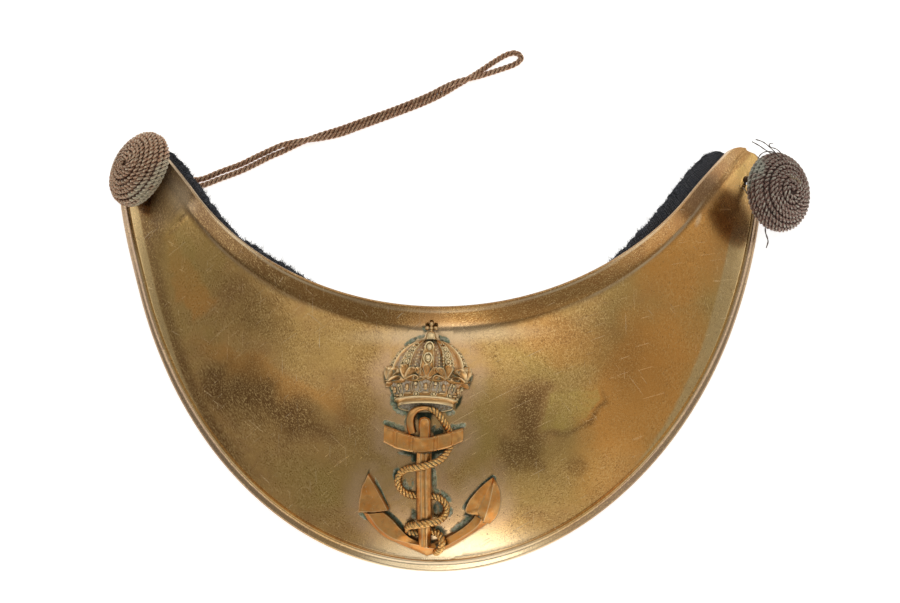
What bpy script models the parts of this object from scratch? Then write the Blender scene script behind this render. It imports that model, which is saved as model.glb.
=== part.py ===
"""Officer's gorget: a brass crescent with a crowned anchor, cloth lining, two wound buttons and a cord loop.

Lengths are millimetres. The plate has its own frame: x across, y up towards the neck and z out of the
front, with the origin on the bowl of the plate. An empty carries that frame and lays the gorget on its
back, as it rests on a table, so the world's +Z is up and +Y points to the neck opening.
"""

import math

import bmesh
import bpy
from mathutils import Matrix, Vector

MM = 0.001
GAP = 0.3  # between pieces that touch on the real object

# The bowl: the plate bends round the neck, and less from collar to lower rim.
WRAP_RADIUS = 96.0
UPPER_RADIUS = 115.0
LOWER_RADIUS = 80.0
CREST_Y = -8.0

# The crescent's two edges are arcs of ellipses, seen from the front.
RIM_HALF_WIDTH = 75.6
RIM_DROP = 103.0
RIM_CENTRE_Y = 63.1
RIM_SPAN = math.radians(84)
NECK_HALF_WIDTH = 71.4
NECK_DROP = 66.9
NECK_CENTRE_Y = 86.8
NECK_SHIFT = 0.7
NECK_SPAN = math.radians(65.4)
TIP_FLARE = 3.5  # how far the horn tips turn out
TIP_START = 0.8  # where that begins, as a share of the way from the centre to a tip

PLATE_THICKNESS = 0.9
COLLAR_WIDTH = 4.3
COLLAR_RISE = 3.0
COLLAR_CURVE = 1.4
RIM_WIDTH = 2.9
RIM_RISE = 0.35
TIP_TAPER = 0.45  # collar and rim are narrower at the tips by this share
TIP_FADE = 0.75  # and the collar is lower there by this share
PLATE_COLUMNS = 60
COLLAR_ROWS = 3
BODY_ROWS = 6
RIM_SECTION = ((1.0, 0.0), (0.86, 1.0), (0.2, 1.0), (0.0, 0.2))  # share of its width, share of its rise

# Lining: how far the cloth stands out past the neck edge, from the wearer's right tip to the left one.
LINING_THICKNESS = 2.2
LINING_INSET = 6.5
LINING_SPAN = 0.955
LINING_COLUMNS = 44
LINING_ROWS = 6
LINING_OVERHANG = (
    # place, overhang
    (-1.00, 2.4),
    (-0.88, 2.6),
    (-0.74, 1.6),
    (-0.60, 0.9),
    (-0.42, 0.7),
    (-0.30, -2.0),
    (0.30, -2.0),
    (0.48, -0.5),
    (0.58, 2.8),
    (0.72, 4.6),
    (0.90, 4.9),
    (1.00, 4.2),
)

# Emblem, in its own flat frame before it is laid on the bowl.
EMBLEM_PLACE = (-1.7, -10.4)
EMBLEM_TURN = math.radians(-1.2)
POST_RADIUS = 1.0
POST_HOLE_RADIUS = 1.4
POST_DEPTH = 2.4
CROWN_POST = (0.0, 13.5)
ANCHOR_POSTS = ((0.0, 1.0), (0.0, -21.5))

# Crown: turned about the emblem's upright and flattened.
CROWN_PROFILE = (
    # radius, height up the emblem
    (0.0, 22.9),
    (1.6, 22.7),
    (4.0, 21.9),
    (6.6, 20.4),
    (8.6, 18.2),
    (9.6, 15.6),
    (9.5, 13.9),
    (8.3, 12.0),
    (7.5, 10.6),
    (6.6, 8.4),
    (5.6, 7.8),
    (0.0, 7.8),
)
CROWN_RELIEF = 0.5  # depth of the crown as a share of its half width
FLEURON_PLACES = (
    (-8.0, 14.0, 2.0),
    (-4.6, 14.2, 4.1),
    (0.0, 14.3, 4.9),
    (4.6, 14.2, 4.1),
    (8.0, 14.0, 2.0),
)
ORB = {"place": (0.0, 23.2, 1.0), "radius": 1.4}
CROSS_BARS = (
    # centre, size
    ((0.0, 24.6, 1.1), (1.1, 3.0, 1.4)),
    ((0.0, 25.0, 1.1), (3.0, 1.1, 1.4)),
)

# Anchor
ANCHOR_RING = {"place": (-1.2, 3.8, 1.2), "radius": 2.8, "wire": 0.85}
SHANK_TOP = (-1.2, 5.4)
SHANK_FOOT = (-0.5, -24.5)
SHANK_WIDTH = 3.3
SHANK_RELIEF = 3.2
STOCK_HALF_LENGTH = 9.3
STOCK_MIDDLE = (-1.2, -1.1)
STOCK_HEIGHT = 3.6
STOCK_SAG = 2.4
STOCK_RELIEF = 3.6
ARM_CENTRE = (0.1, -11.9)
ARM_RADIUS = 12.6
ARM_SWEEP = math.radians(76)
ARM_BAR_RADIUS = 1.7
FLUKES = (
    # foot, tip, half width at the foot
    ((-12.0, -16.4, 1.6), (-13.8, -7.4, 1.0), 3.4),
    ((12.4, -16.6, 1.6), (14.6, -8.2, 1.0), 3.6),
)
ROPE_RADIUS = 0.7
ROPE_ROUTE = (
    (1.6, 5.8, 1.4),
    (4.0, 2.4, 2.2),
    (4.4, -1.8, 1.6),
    (0.7, -5.2, 3.4),
    (-2.6, -5.8, 3.4),
    (-6.4, -6.5, 1.2),
    (-7.1, -8.8, 0.9),
    (-5.6, -10.9, 0.9),
    (-3.0, -12.3, 0.9),
    (0.9, -12.8, 0.9),
    (3.8, -13.2, 0.9),
    (4.8, -15.0, 0.9),
    (3.3, -17.5, 1.6),
    (1.1, -18.2, 3.2),
    (-2.0, -18.4, 3.2),
    (-4.2, -18.1, 1.4),
    (-4.8, -19.1, 0.9),
    (-3.7, -20.3, 0.9),
    (0.0, -20.6, 0.9),
    (2.6, -21.4, 2.0),
    (4.4, -24.2, 2.6),
)

# Buttons
BUTTON_RADIUS = 9.4
BUTTON_HEIGHT = 7.1
BUTTON_EDGE = 2.2
BUTTON_STEPS = 36
BUTTON_RINGS = 8
SHANK_RADIUS = 0.7
SHANK_HOLE_RADIUS = 1.7
SHANK_SEATS = {-1: (-68.3, 51.4), 1: (72.0, 50.6)}
LEFT_BUTTON = {"place": (-69.0, 51.8, -43.2), "axis": (-0.72, 0.38, 0.58)}
RIGHT_BUTTON = {"place": (77.5, 47.3, -43.0), "axis": (0.69, 0.09, 0.72)}

# Cord
CORD_DIAMETER = 1.35
CORD_SPACING = 2.7
# The doubled cord, in the world: out from behind the horn, along the table to its eye, and back.
CORD_ROUTE = (
    (-70.1, 46.4, 2.4),
    (-65.6, 46.5, 1.6),
    (-61.2, 47.0, 1.0),
    (-56.8, 49.1, 0.8),
    (-52.0, 51.2, 0.8),
    (-47.4, 53.6, 0.8),
    (-42.8, 55.9, 1.2),
    (-39.5, 57.1, 2.2),
    (-36.0, 57.8, 2.5),
    (-32.5, 58.3, 2.2),
    (-28.6, 59.2, 1.1),
    (-23.9, 61.2, 0.8),
    (-14.6, 65.2, 0.8),
    (-5.1, 69.7, 0.8),
    (-0.2, 73.3, 0.8),
    (4.4, 77.7, 0.8),
    (7.9, 80.8, 0.8),
    (10.5, 82.3, 0.8),
    (12.9, 82.3, 0.8),
    (14.3, 80.7, 0.8),
    (12.9, 78.8, 0.8),
    (9.2, 77.1, 0.8),
    (4.4, 75.7, 1.1),
    (2.0, 74.7, 2.1),
    (-0.2, 73.5, 2.5),
    (-3.0, 72.3, 2.1),
    (-5.9, 71.1, 1.0),
    (-14.6, 67.0, 0.8),
    (-23.9, 63.0, 0.8),
    (-28.6, 61.0, 0.8),
    (-32.5, 59.3, 0.8),
    (-36.0, 57.8, 0.8),
    (-39.5, 56.1, 0.8),
    (-42.8, 54.1, 0.8),
    (-47.4, 51.7, 0.8),
    (-52.0, 49.3, 0.8),
    (-56.8, 47.2, 0.8),
    (-61.2, 45.2, 1.0),
    (-65.6, 44.7, 1.6),
    (-70.1, 44.6, 2.4),
)

# How the gorget lies on the table: the plate frame's lean, and where its origin is.
REST_TILT = math.radians(26.8)
REST_PLACE = (-4.322, -21.541, 24.139)

BRASS = (0.47, 0.31, 0.12)
BRIGHT_BRASS = (0.60, 0.42, 0.18)
CLOTH_BLACK = (0.012, 0.013, 0.017)
OLD_WIRE = (0.16, 0.105, 0.08)
CORD_BROWN = (0.20, 0.10, 0.06)


# ---------------------------------------------------------------- the bowl


def bowl_height(x, y):
    """Height of the bare bowl over a point of the plate frame."""
    radius = UPPER_RADIUS if y > CREST_Y else LOWER_RADIUS
    across = WRAP_RADIUS - math.sqrt(WRAP_RADIUS**2 - x**2)
    along = radius - math.sqrt(radius**2 - (y - CREST_Y) ** 2)
    return -across - along


def bowl_normal(x, y):
    """Outward normal of the bare bowl."""
    radius = UPPER_RADIUS if y > CREST_Y else LOWER_RADIUS
    slope_x = x / math.sqrt(WRAP_RADIUS**2 - x**2)
    slope_y = (y - CREST_Y) / math.sqrt(radius**2 - (y - CREST_Y) ** 2)
    return Vector((slope_x, slope_y, 1.0)).normalized()


def on_bowl(x, y, height=0.0):
    """Point of the plate frame that lies a height above the bowl."""
    return Vector((x, y, bowl_height(x, y))) + bowl_normal(x, y) * height


def neck_edge(u):
    """Neck edge of the crescent, u from -1 at one tip to 1 at the other."""
    angle = u * NECK_SPAN
    flare = TIP_FLARE * (max(0.0, abs(u) - TIP_START) / (1.0 - TIP_START)) ** 2
    x = NECK_SHIFT + NECK_HALF_WIDTH * math.sin(angle) + math.copysign(flare, u)
    return Vector((x, NECK_CENTRE_Y - NECK_DROP * math.cos(angle)))


def outer_edge(u):
    """Lower and side edge of the crescent."""
    angle = u * RIM_SPAN
    return Vector((RIM_HALF_WIDTH * math.sin(angle), RIM_CENTRE_Y - RIM_DROP * math.cos(angle)))


def rib_point(u, distance, height=0.0):
    """Point a distance from the neck edge along the rib that joins both edges at u."""
    start = neck_edge(u)
    way = (outer_edge(u) - start).normalized()
    spot = start + way * distance
    return on_bowl(spot.x, spot.y, height)


def rib_length(u):
    return (outer_edge(u) - neck_edge(u)).length


def plate_section(u):
    """Stations across the plate: distance along the rib, and height above the bowl."""
    length = rib_length(u)
    taper = 1.0 - TIP_TAPER * abs(u) ** 8
    collar = COLLAR_WIDTH * taper
    rim = RIM_WIDTH * taper
    rise = COLLAR_RISE * (1.0 - TIP_FADE * abs(u) ** 5)
    stations = []
    for row in range(COLLAR_ROWS + 1):
        share = row / COLLAR_ROWS
        stations.append((collar * share, rise * (1.0 - share) ** COLLAR_CURVE))
    for row in range(1, BODY_ROWS):
        stations.append((collar + (length - rim - collar) * row / BODY_ROWS, 0.0))
    for width, rise in RIM_SECTION:
        stations.append((length - rim * width, RIM_RISE * rise))
    return stations


def lining_section(u):
    """Stations across the lining's front face."""
    start = -overhang(u)
    end = rib_length(u) - LINING_INSET * (1.0 - 0.6 * abs(u) ** 6)
    height = -(PLATE_THICKNESS + GAP)
    return [(start + (end - start) * row / LINING_ROWS, height) for row in range(LINING_ROWS + 1)]


def overhang(u):
    """How far the cloth passes the neck edge at u, read between the rows of its table."""
    for (u0, first), (u1, second) in zip(LINING_OVERHANG, LINING_OVERHANG[1:]):
        if u <= u1:
            share = (u - u0) / (u1 - u0)
            blend = share * share * (3.0 - 2.0 * share)
            return first + (second - first) * blend
    return LINING_OVERHANG[-1][1]


# ---------------------------------------------------------------- making objects


def clear_scene():
    for obj in list(bpy.data.objects):
        bpy.data.objects.remove(obj, do_unlink=True)


def new_collection(name):
    collection = bpy.data.collections.new(name)
    bpy.context.scene.collection.children.link(collection)
    return collection


def metal_or_cloth(name, colour, roughness, metallic):
    material = bpy.data.materials.new(name)
    material.use_nodes = True
    shader = material.node_tree.nodes["Principled BSDF"]
    shader.inputs["Base Color"].default_value = (*colour, 1.0)
    shader.inputs["Roughness"].default_value = roughness
    shader.inputs["Metallic"].default_value = metallic
    return material


def add_object(name, mesh_or_curve, collection, frame=None, material=None):
    obj = bpy.data.objects.new(name, mesh_or_curve)
    collection.objects.link(obj)
    if frame is not None:
        obj.parent = frame
    if material is not None:
        obj.data.materials.append(material)
    return obj


def mesh_object(name, bm, collection, frame=None, material=None):
    """Object from a bmesh in millimetres."""
    bmesh.ops.scale(bm, vec=(MM, MM, MM), verts=bm.verts)
    mesh = bpy.data.meshes.new(name)
    bm.to_mesh(mesh)
    bm.free()
    return add_object(name, mesh, collection, frame, material)


def ribbed_sheet(section, columns, rows, span):
    """Open sheet over the crescent: a grid whose rows are the section's stations."""
    bm = bmesh.new()
    bmesh.ops.create_grid(bm, x_segments=columns, y_segments=rows, size=1.0)
    for vert in bm.verts:
        u = vert.co.x * span
        row = round((1.0 - vert.co.y) / 2.0 * rows)
        distance, height = section(u)[row]
        vert.co = rib_point(u, distance, height)
    return bm


def thicken(obj, thickness):
    """Give an open sheet its thickness, away from the side that shows."""
    solidify = obj.modifiers.new("Thickness", "SOLIDIFY")
    solidify.thickness = thickness * MM
    solidify.offset = -1.0
    solidify.use_even_offset = True


def drill(obj, cutters):
    for cutter in cutters:
        hole = obj.modifiers.new("Hole", "BOOLEAN")
        hole.operation = "DIFFERENCE"
        hole.object = cutter


def hide_cutter(obj):
    obj.hide_render = True
    obj.display_type = "WIRE"


def turned_to(axis):
    """Rotation that turns +Z to an axis."""
    return Vector((0, 0, 1)).rotation_difference(Vector(axis)).to_matrix().to_4x4()


def rod(bm, start, end, radius, sides=12, end_radius=None):
    """Closed round bar between two points, added to a bmesh."""
    start, end = Vector(start), Vector(end)
    placing = Matrix.Translation((start + end) / 2) @ turned_to(end - start)
    bmesh.ops.create_cone(
        bm,
        cap_ends=True,
        segments=sides,
        radius1=radius,
        radius2=radius if end_radius is None else end_radius,
        depth=(end - start).length,
        matrix=placing,
    )


def evaluated_bmesh(obj):
    """The object's shape with its modifiers, as a welded bmesh; the object is removed."""
    graph = bpy.context.evaluated_depsgraph_get()
    graph.update()
    mesh = bpy.data.meshes.new_from_object(obj.evaluated_get(graph))
    bm = bmesh.new()
    bm.from_mesh(mesh)
    bpy.data.meshes.remove(mesh)
    bpy.data.objects.remove(obj, do_unlink=True)
    bmesh.ops.remove_doubles(bm, verts=bm.verts, dist=1e-4)
    return bm


def tube_curve(name, points, radius):
    """Round bar along points: a poly curve with filled caps."""
    curve = bpy.data.curves.new(name, "CURVE")
    curve.dimensions = "3D"
    curve.bevel_depth = radius
    curve.bevel_resolution = 2
    curve.use_fill_caps = True
    spline = curve.splines.new("POLY")
    spline.points.add(len(points) - 1)
    for point, place in zip(spline.points, points):
        point.co = (*place, 1.0)
    return curve


def tube_bmesh(points, radius, collection):
    return evaluated_bmesh(add_object("bar", tube_curve("bar", points, radius), collection))


def smooth_route(knots, spacing):
    """Evenly spaced points on a smooth curve through the knots."""
    knots = [Vector(knot) for knot in knots]
    padded = [2 * knots[0] - knots[1], *knots, 2 * knots[-1] - knots[-2]]
    fine = []
    for p0, p1, p2, p3 in zip(padded, padded[1:], padded[2:], padded[3:]):
        for step in range(20):
            t = step / 20
            fine.append(
                0.5 * ((2 * p1) + (p2 - p0) * t + (2 * p0 - 5 * p1 + 4 * p2 - p3) * t**2
                       + (3 * p1 - p0 - 3 * p2 + p3) * t**3)
            )
    fine.append(knots[-1])
    lengths = [0.0]
    for before, after in zip(fine, fine[1:]):
        lengths.append(lengths[-1] + (after - before).length)
    count = max(2, round(lengths[-1] / spacing))
    route, place = [], 0
    for number in range(count + 1):
        wanted = lengths[-1] * number / count
        while place < len(fine) - 2 and lengths[place + 1] < wanted:
            place += 1
        share = (wanted - lengths[place]) / max(lengths[place + 1] - lengths[place], 1e-9)
        route.append(fine[place].lerp(fine[place + 1], share))
    return route


def turned_object(name, profile, steps, collection):
    """Solid turned about Z from a profile of (radius, height), from its top down its outer side."""
    mesh = bpy.data.meshes.new(name)
    edges = [(n, n + 1) for n in range(len(profile) - 1)]
    mesh.from_pydata([(radius, 0.0, height) for radius, height in profile], edges, [])
    obj = add_object(name, mesh, collection)
    screw = obj.modifiers.new("Turn", "SCREW")
    screw.steps = steps
    screw.render_steps = steps
    screw.use_merge_vertices = True
    screw.merge_threshold = 1e-5
    return obj


def fused(pieces, collection):
    """One closed bmesh from overlapping closed ones."""
    objects = []
    for bm in pieces:
        mesh = bpy.data.meshes.new("piece")
        bm.to_mesh(mesh)
        bm.free()
        objects.append(add_object("piece", mesh, collection))
    whole, *others = objects
    for other in others:
        union = whole.modifiers.new("Join", "BOOLEAN")
        union.operation = "UNION"
        union.object = other
    bm = evaluated_bmesh(whole)
    for other in others:
        bpy.data.objects.remove(other, do_unlink=True)
    return bm


# ---------------------------------------------------------------- plate and lining


def seat_axis(side):
    """Foot and outward direction of a button's shank: side is -1 or 1."""
    x, y = SHANK_SEATS[side]
    return on_bowl(x, y), bowl_normal(x, y)


def emblem_point(place):
    """Point of the plate frame under a flat place on the emblem."""
    turned = Matrix.Rotation(EMBLEM_TURN, 2) @ Vector(place)
    return turned.x + EMBLEM_PLACE[0], turned.y + EMBLEM_PLACE[1]


def post_cutters(collection, frame, radius, name):
    """Hidden cylinders through plate and lining, where posts and shanks pass."""
    seats = [(seat_axis(side), SHANK_HOLE_RADIUS) for side in (-1, 1)]
    for place in (CROWN_POST, *ANCHOR_POSTS):
        x, y = emblem_point(place)
        seats.append(((on_bowl(x, y), bowl_normal(x, y)), radius))
    cutters = []
    for number, ((foot, outward), hole_radius) in enumerate(seats):
        bm = bmesh.new()
        rod(bm, foot - outward * 6.0, foot + outward * 3.0, hole_radius, sides=16)
        cutter = mesh_object(f"{name}_{number}", bm, collection, frame)
        hide_cutter(cutter)
        cutters.append(cutter)
    return cutters


def make_plate(parts, frame, cutters):
    rows = COLLAR_ROWS + BODY_ROWS - 1 + len(RIM_SECTION)
    bm = ribbed_sheet(plate_section, PLATE_COLUMNS, rows, 1.0)
    brass = metal_or_cloth("old_brass", BRASS, 0.32, 1.0)
    plate = mesh_object("plate", bm, parts, frame, brass)
    thicken(plate, PLATE_THICKNESS)
    drill(plate, cutters)
    return plate


def make_lining(parts, frame, cutters):
    bm = ribbed_sheet(lining_section, LINING_COLUMNS, LINING_ROWS, LINING_SPAN)
    cloth = metal_or_cloth("black_cloth", CLOTH_BLACK, 0.95, 0.0)
    lining = mesh_object("lining", bm, parts, frame, cloth)
    thicken(lining, LINING_THICKNESS)
    drill(lining, cutters)
    return lining


# ---------------------------------------------------------------- emblem


def box(centre, size):
    bm = bmesh.new()
    bmesh.ops.create_cube(bm, size=1.0)
    bmesh.ops.scale(bm, vec=size, verts=bm.verts)
    bmesh.ops.translate(bm, vec=centre, verts=bm.verts)
    return bm


def ball(centre, size):
    bm = bmesh.new()
    bmesh.ops.create_uvsphere(bm, u_segments=12, v_segments=8, radius=1.0)
    bmesh.ops.scale(bm, vec=size, verts=bm.verts)
    bmesh.ops.translate(bm, vec=centre, verts=bm.verts)
    return bm


def bar(start, end, radius, sides=12, end_radius=None):
    bm = bmesh.new()
    rod(bm, start, end, radius, sides, end_radius)
    return bm


def flat_base(bm):
    """Cut away what lies under the gap to the plate, and close the cut."""
    geometry = [*bm.verts, *bm.edges, *bm.faces]
    bmesh.ops.bisect_plane(
        bm, geom=geometry, plane_co=(0, 0, GAP), plane_no=(0, 0, 1), clear_inner=True
    )
    bmesh.ops.holes_fill(bm, edges=[edge for edge in bm.edges if edge.is_boundary])
    return bm


def lay_on_bowl(bm):
    """Bend a flat emblem piece to the bowl: its height becomes distance from the plate."""
    bmesh.ops.triangulate(bm, faces=bm.faces)
    for vert in bm.verts:
        x, y = emblem_point(vert.co.xy)
        vert.co = on_bowl(x, y, vert.co.z)
    return bm


def crown_bmesh(cutters):
    turned = evaluated_bmesh(turned_object("crown_body", CROWN_PROFILE, 28, cutters))
    for vert in turned.verts:
        x, y, z = vert.co
        vert.co = (x, z, y * CROWN_RELIEF)
    bmesh.ops.recalc_face_normals(turned, faces=turned.faces)
    pieces = [turned, ball(ORB["place"], (ORB["radius"],) * 3)]
    pieces += [box(centre, size) for centre, size in CROSS_BARS]
    pieces += [ball(place, (1.6, 1.9, 0.7)) for place in FLEURON_PLACES]
    return fused(pieces, cutters)


def stock_bmesh():
    """Cross bar of the anchor, sagging to its middle and bent back at its ends."""
    bm = bmesh.new()
    bmesh.ops.create_grid(bm, x_segments=12, y_segments=1, size=1.0)
    foot = bmesh.ops.extrude_face_region(bm, geom=bm.faces)
    for vert in [part for part in foot["geom"] if isinstance(part, bmesh.types.BMVert)]:
        vert.co.z = 1.0
    for vert in bm.verts:
        share = vert.co.x
        droop = STOCK_SAG * (1.0 - share**2)
        x = STOCK_MIDDLE[0] + STOCK_HALF_LENGTH * share
        y = STOCK_MIDDLE[1] + STOCK_SAG / 2 - droop + vert.co.y * STOCK_HEIGHT / 2
        vert.co = (x, y, vert.co.z * STOCK_RELIEF * (1.0 - 0.35 * share**2))
    bmesh.ops.recalc_face_normals(bm, faces=bm.faces)
    return bm


def arms_bmesh(cutters):
    points = []
    for step in range(13):
        angle = ARM_SWEEP * (step / 6.0 - 1.0)
        x = ARM_CENTRE[0] + ARM_RADIUS * math.sin(angle)
        y = ARM_CENTRE[1] - ARM_RADIUS * math.cos(angle)
        points.append((x, y, 1.4))
    return tube_bmesh(points, ARM_BAR_RADIUS, cutters)


def ring_bmesh(cutters):
    """The anchor's ring: a bar bent round, its ends lapped inside the shank."""
    centre = Vector(ANCHOR_RING["place"])
    points = []
    for step in range(19):
        angle = math.radians(-85 + 350 * step / 18)
        points.append(centre + Vector((math.cos(angle), math.sin(angle), 0.0)) * ANCHOR_RING["radius"])
    return tube_bmesh(points, ANCHOR_RING["wire"], cutters)


def anchor_bmesh(cutters):
    top, foot = Vector(SHANK_TOP), Vector(SHANK_FOOT)
    middle = (top + foot) / 2
    shank = box((0, 0, SHANK_RELIEF / 2), (SHANK_WIDTH, (top - foot).length, SHANK_RELIEF))
    lean = math.atan2(foot.x - top.x, top.y - foot.y)
    bmesh.ops.rotate(shank, cent=(0, 0, 0), matrix=Matrix.Rotation(lean, 3, "Z"), verts=shank.verts)
    bmesh.ops.translate(shank, vec=(*middle, 0.0), verts=shank.verts)
    pieces = [shank, stock_bmesh(), arms_bmesh(cutters), ring_bmesh(cutters)]
    pieces += [bar(start, tip, width, 4, 0.4) for start, tip, width in FLUKES]
    pieces.append(tube_bmesh(smooth_route(ROPE_ROUTE, 2.0), ROPE_RADIUS, cutters))
    return fused(pieces, cutters)


def post_bmesh(place):
    """Hidden post that holds the emblem, from inside it to behind the plate."""
    x, y = emblem_point(place)
    foot, outward = on_bowl(x, y), bowl_normal(x, y)
    return bar(foot - outward * POST_DEPTH, foot + outward * 1.2, POST_RADIUS)


def make_emblem(parts, cutters, frame):
    gilt = metal_or_cloth("bright_brass", BRIGHT_BRASS, 0.35, 1.0)
    makers = (("crown", crown_bmesh, (CROWN_POST,)), ("anchor", anchor_bmesh, ANCHOR_POSTS))
    for name, maker, posts in makers:
        relief = lay_on_bowl(flat_base(maker(cutters)))
        bm = fused([relief, *[post_bmesh(place) for place in posts]], cutters)
        mesh_object(name, bm, parts, frame, gilt)


# ---------------------------------------------------------------- buttons, shanks and cord


def button_profile():
    """Half section of a domed button: a quarter ellipse over a short rounded foot."""
    dome = BUTTON_HEIGHT - BUTTON_EDGE
    points = []
    for ring in range(BUTTON_RINGS + 1):
        angle = math.pi / 2 * ring / BUTTON_RINGS
        points.append((BUTTON_RADIUS * math.sin(angle), BUTTON_EDGE + dome * math.cos(angle)))
    points += [(BUTTON_RADIUS * 0.97, 0.8), (BUTTON_RADIUS * 0.88, 0.0), (0.0, 0.0)]
    return points


def make_button(name, seat, parts, cutters, frame, material):
    bm = evaluated_bmesh(turned_object(name, button_profile(), BUTTON_STEPS, cutters))
    bmesh.ops.transform(bm, matrix=turned_to(seat["axis"]), verts=bm.verts)
    bmesh.ops.translate(bm, vec=seat["place"], verts=bm.verts)
    return mesh_object(name, bm, parts, frame, material)


def make_shank(name, side, seat, parts, frame, material):
    """Wire that holds a button: from under it, through the horn, to behind the lining."""
    foot, outward = seat_axis(side)
    inward = -Vector(seat["axis"]).normalized()
    button_foot = Vector(seat["place"]) + inward * GAP
    behind = foot - outward * (PLATE_THICKNESS + LINING_THICKNESS + 3 * GAP)
    front = foot + outward * 0.8
    knots = [button_foot, button_foot + inward * 0.9, front, behind]
    points = [point * MM for point in smooth_route(knots, 1.2)]
    return add_object(name, tube_curve(name, points, SHANK_RADIUS * MM), parts, frame, material)


def make_cord(parts):
    points = [point * MM for point in smooth_route(CORD_ROUTE, CORD_SPACING)]
    brown = metal_or_cloth("cord_brown", CORD_BROWN, 0.6, 0.2)
    return add_object("cord", tube_curve("cord", points, CORD_DIAMETER / 2 * MM), parts, None, brown)


def main():
    clear_scene()
    parts = new_collection("officers_gorget")
    cutters = new_collection("cutters")
    frame = add_object("resting_frame", None, parts)
    frame.rotation_euler = (REST_TILT, 0.0, 0.0)
    frame.location = Vector(REST_PLACE) * MM
    holes = post_cutters(cutters, frame, POST_HOLE_RADIUS, "hole")
    make_plate(parts, frame, holes)
    make_lining(parts, frame, holes)
    make_emblem(parts, cutters, frame)
    wire = metal_or_cloth("old_wire", OLD_WIRE, 0.55, 0.3)
    make_button("button_left", LEFT_BUTTON, parts, cutters, frame, wire)
    make_button("button_right", RIGHT_BUTTON, parts, cutters, frame, wire)
    make_shank("shank_left", -1, LEFT_BUTTON, parts, frame, wire)
    make_shank("shank_right", 1, RIGHT_BUTTON, parts, frame, wire)
    make_cord(parts)


main()
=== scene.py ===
"""Looks of an officer's gorget: brass crescent, crowned anchor, cloth lining, wound buttons and cord loop.

Shapes are drawn in millimetres in the plate's own frame (x across, y up towards the neck, z out of the
front) and then carried to where the gorget lies on its back. The emblem is drawn flat and bent to the bowl.
"""

import math

import bmesh
import bpy
import numpy as np
from mathutils import Matrix, Vector, noise
from mathutils.bvhtree import BVHTree


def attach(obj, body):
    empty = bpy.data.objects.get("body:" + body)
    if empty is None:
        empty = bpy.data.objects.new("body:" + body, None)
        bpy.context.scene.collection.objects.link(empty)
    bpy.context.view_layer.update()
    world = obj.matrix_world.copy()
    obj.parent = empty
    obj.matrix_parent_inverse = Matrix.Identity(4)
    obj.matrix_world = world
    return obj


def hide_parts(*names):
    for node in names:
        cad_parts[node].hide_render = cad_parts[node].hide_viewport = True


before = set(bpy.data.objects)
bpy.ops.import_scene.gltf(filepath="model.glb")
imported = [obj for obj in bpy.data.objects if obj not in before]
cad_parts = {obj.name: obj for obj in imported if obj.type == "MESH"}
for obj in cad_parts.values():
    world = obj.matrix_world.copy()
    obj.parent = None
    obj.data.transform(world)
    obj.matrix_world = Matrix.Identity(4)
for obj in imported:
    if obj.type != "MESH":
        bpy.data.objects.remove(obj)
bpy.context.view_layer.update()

MM = 0.001
TURN = 2.0 * math.pi

# The bowl and the crescent's two edges, as the part has them
WRAP_RADIUS = 96.0
UPPER_RADIUS = 115.0
LOWER_RADIUS = 80.0
CREST_Y = -8.0
RIM_HALF_WIDTH = 75.6
RIM_DROP = 103.0
RIM_CENTRE_Y = 63.1
RIM_SPAN = math.radians(86.3)
NECK_HALF_WIDTH = 71.4
NECK_DROP = 66.9
NECK_CENTRE_Y = 86.8
NECK_SHIFT = 0.7
NECK_SPAN = math.radians(65.4)
NECK_SAG = 1.15
TIP_FLARE = 3.5
TIP_START = 0.8

# How it lies: the plate frame's lean, and where its origin is above the table
REST_TILT = math.radians(26.8)
REST_PLACE = (-4.322, -21.541, 24.139)
TIP_EASE = 0.6  # height over which points near the floor are eased away from it
TIP_CLEARANCE = 0.04  # left between them and the floor
LAID_DOWN = Matrix.Translation(REST_PLACE) @ Matrix.Rotation(REST_TILT, 4, "X")

# Camera, in the plate's frame
CAMERA_YAW = math.radians(1.5)
CAMERA_ROLL = math.radians(0.19)
CAMERA_DISTANCE = 1000.0
CAMERA_AIM = (3.30, 20.91, -0.09)
CAMERA_LENS = 178.2

# Cord: the doubled loop, on the table
CORD_DIAMETER = 1.35
CORD_ROUTE = (
    (-70.1, 46.4, 2.4), (-65.6, 46.5, 1.6), (-61.2, 47.0, 1.0), (-56.8, 49.1, 0.8), (-52.0, 51.2, 0.8),
    (-48.2, 53.3, 0.9), (-45.2, 54.7, 1.3), (-42.2, 55.6, 2.3), (-39.4, 56.3, 2.5), (-36.6, 57.0, 2.3),
    (-33.4, 58.1, 1.2), (-28.6, 59.5, 0.8), (-23.9, 61.5, 0.8), (-14.6, 65.5, 0.8), (-8.5, 68.3, 0.8),
    (-4.6, 70.5, 0.8), (-1.2, 72.9, 0.8), (1.8, 75.0, 0.8), (4.6, 77.1, 0.8), (7.8, 79.6, 0.8), (10.6, 81.5, 0.8),
    (12.9, 82.1, 0.8), (14.3, 80.8, 0.8), (13.0, 79.1, 0.8), (9.4, 77.5, 0.8), (4.6, 75.6, 1.0), (1.4, 74.0, 2.1),
    (-1.2, 72.9, 2.5), (-4.0, 71.7, 2.1), (-7.6, 70.2, 1.0), (-14.6, 66.95, 0.8), (-23.9, 62.95, 0.8),
    (-28.6, 60.95, 0.8), (-33.4, 59.2, 0.8), (-36.6, 57.8, 0.8), (-39.4, 56.3, 0.8), (-42.2, 54.7, 0.8),
    (-45.2, 53.2, 0.8), (-48.2, 51.4, 0.8), (-52.0, 49.3, 0.8), (-56.8, 47.2, 0.8), (-61.2, 45.2, 1.0),
    (-65.6, 44.7, 1.6), (-70.1, 44.6, 2.4),
)


# ---------------------------------------------------------------- the bowl


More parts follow.
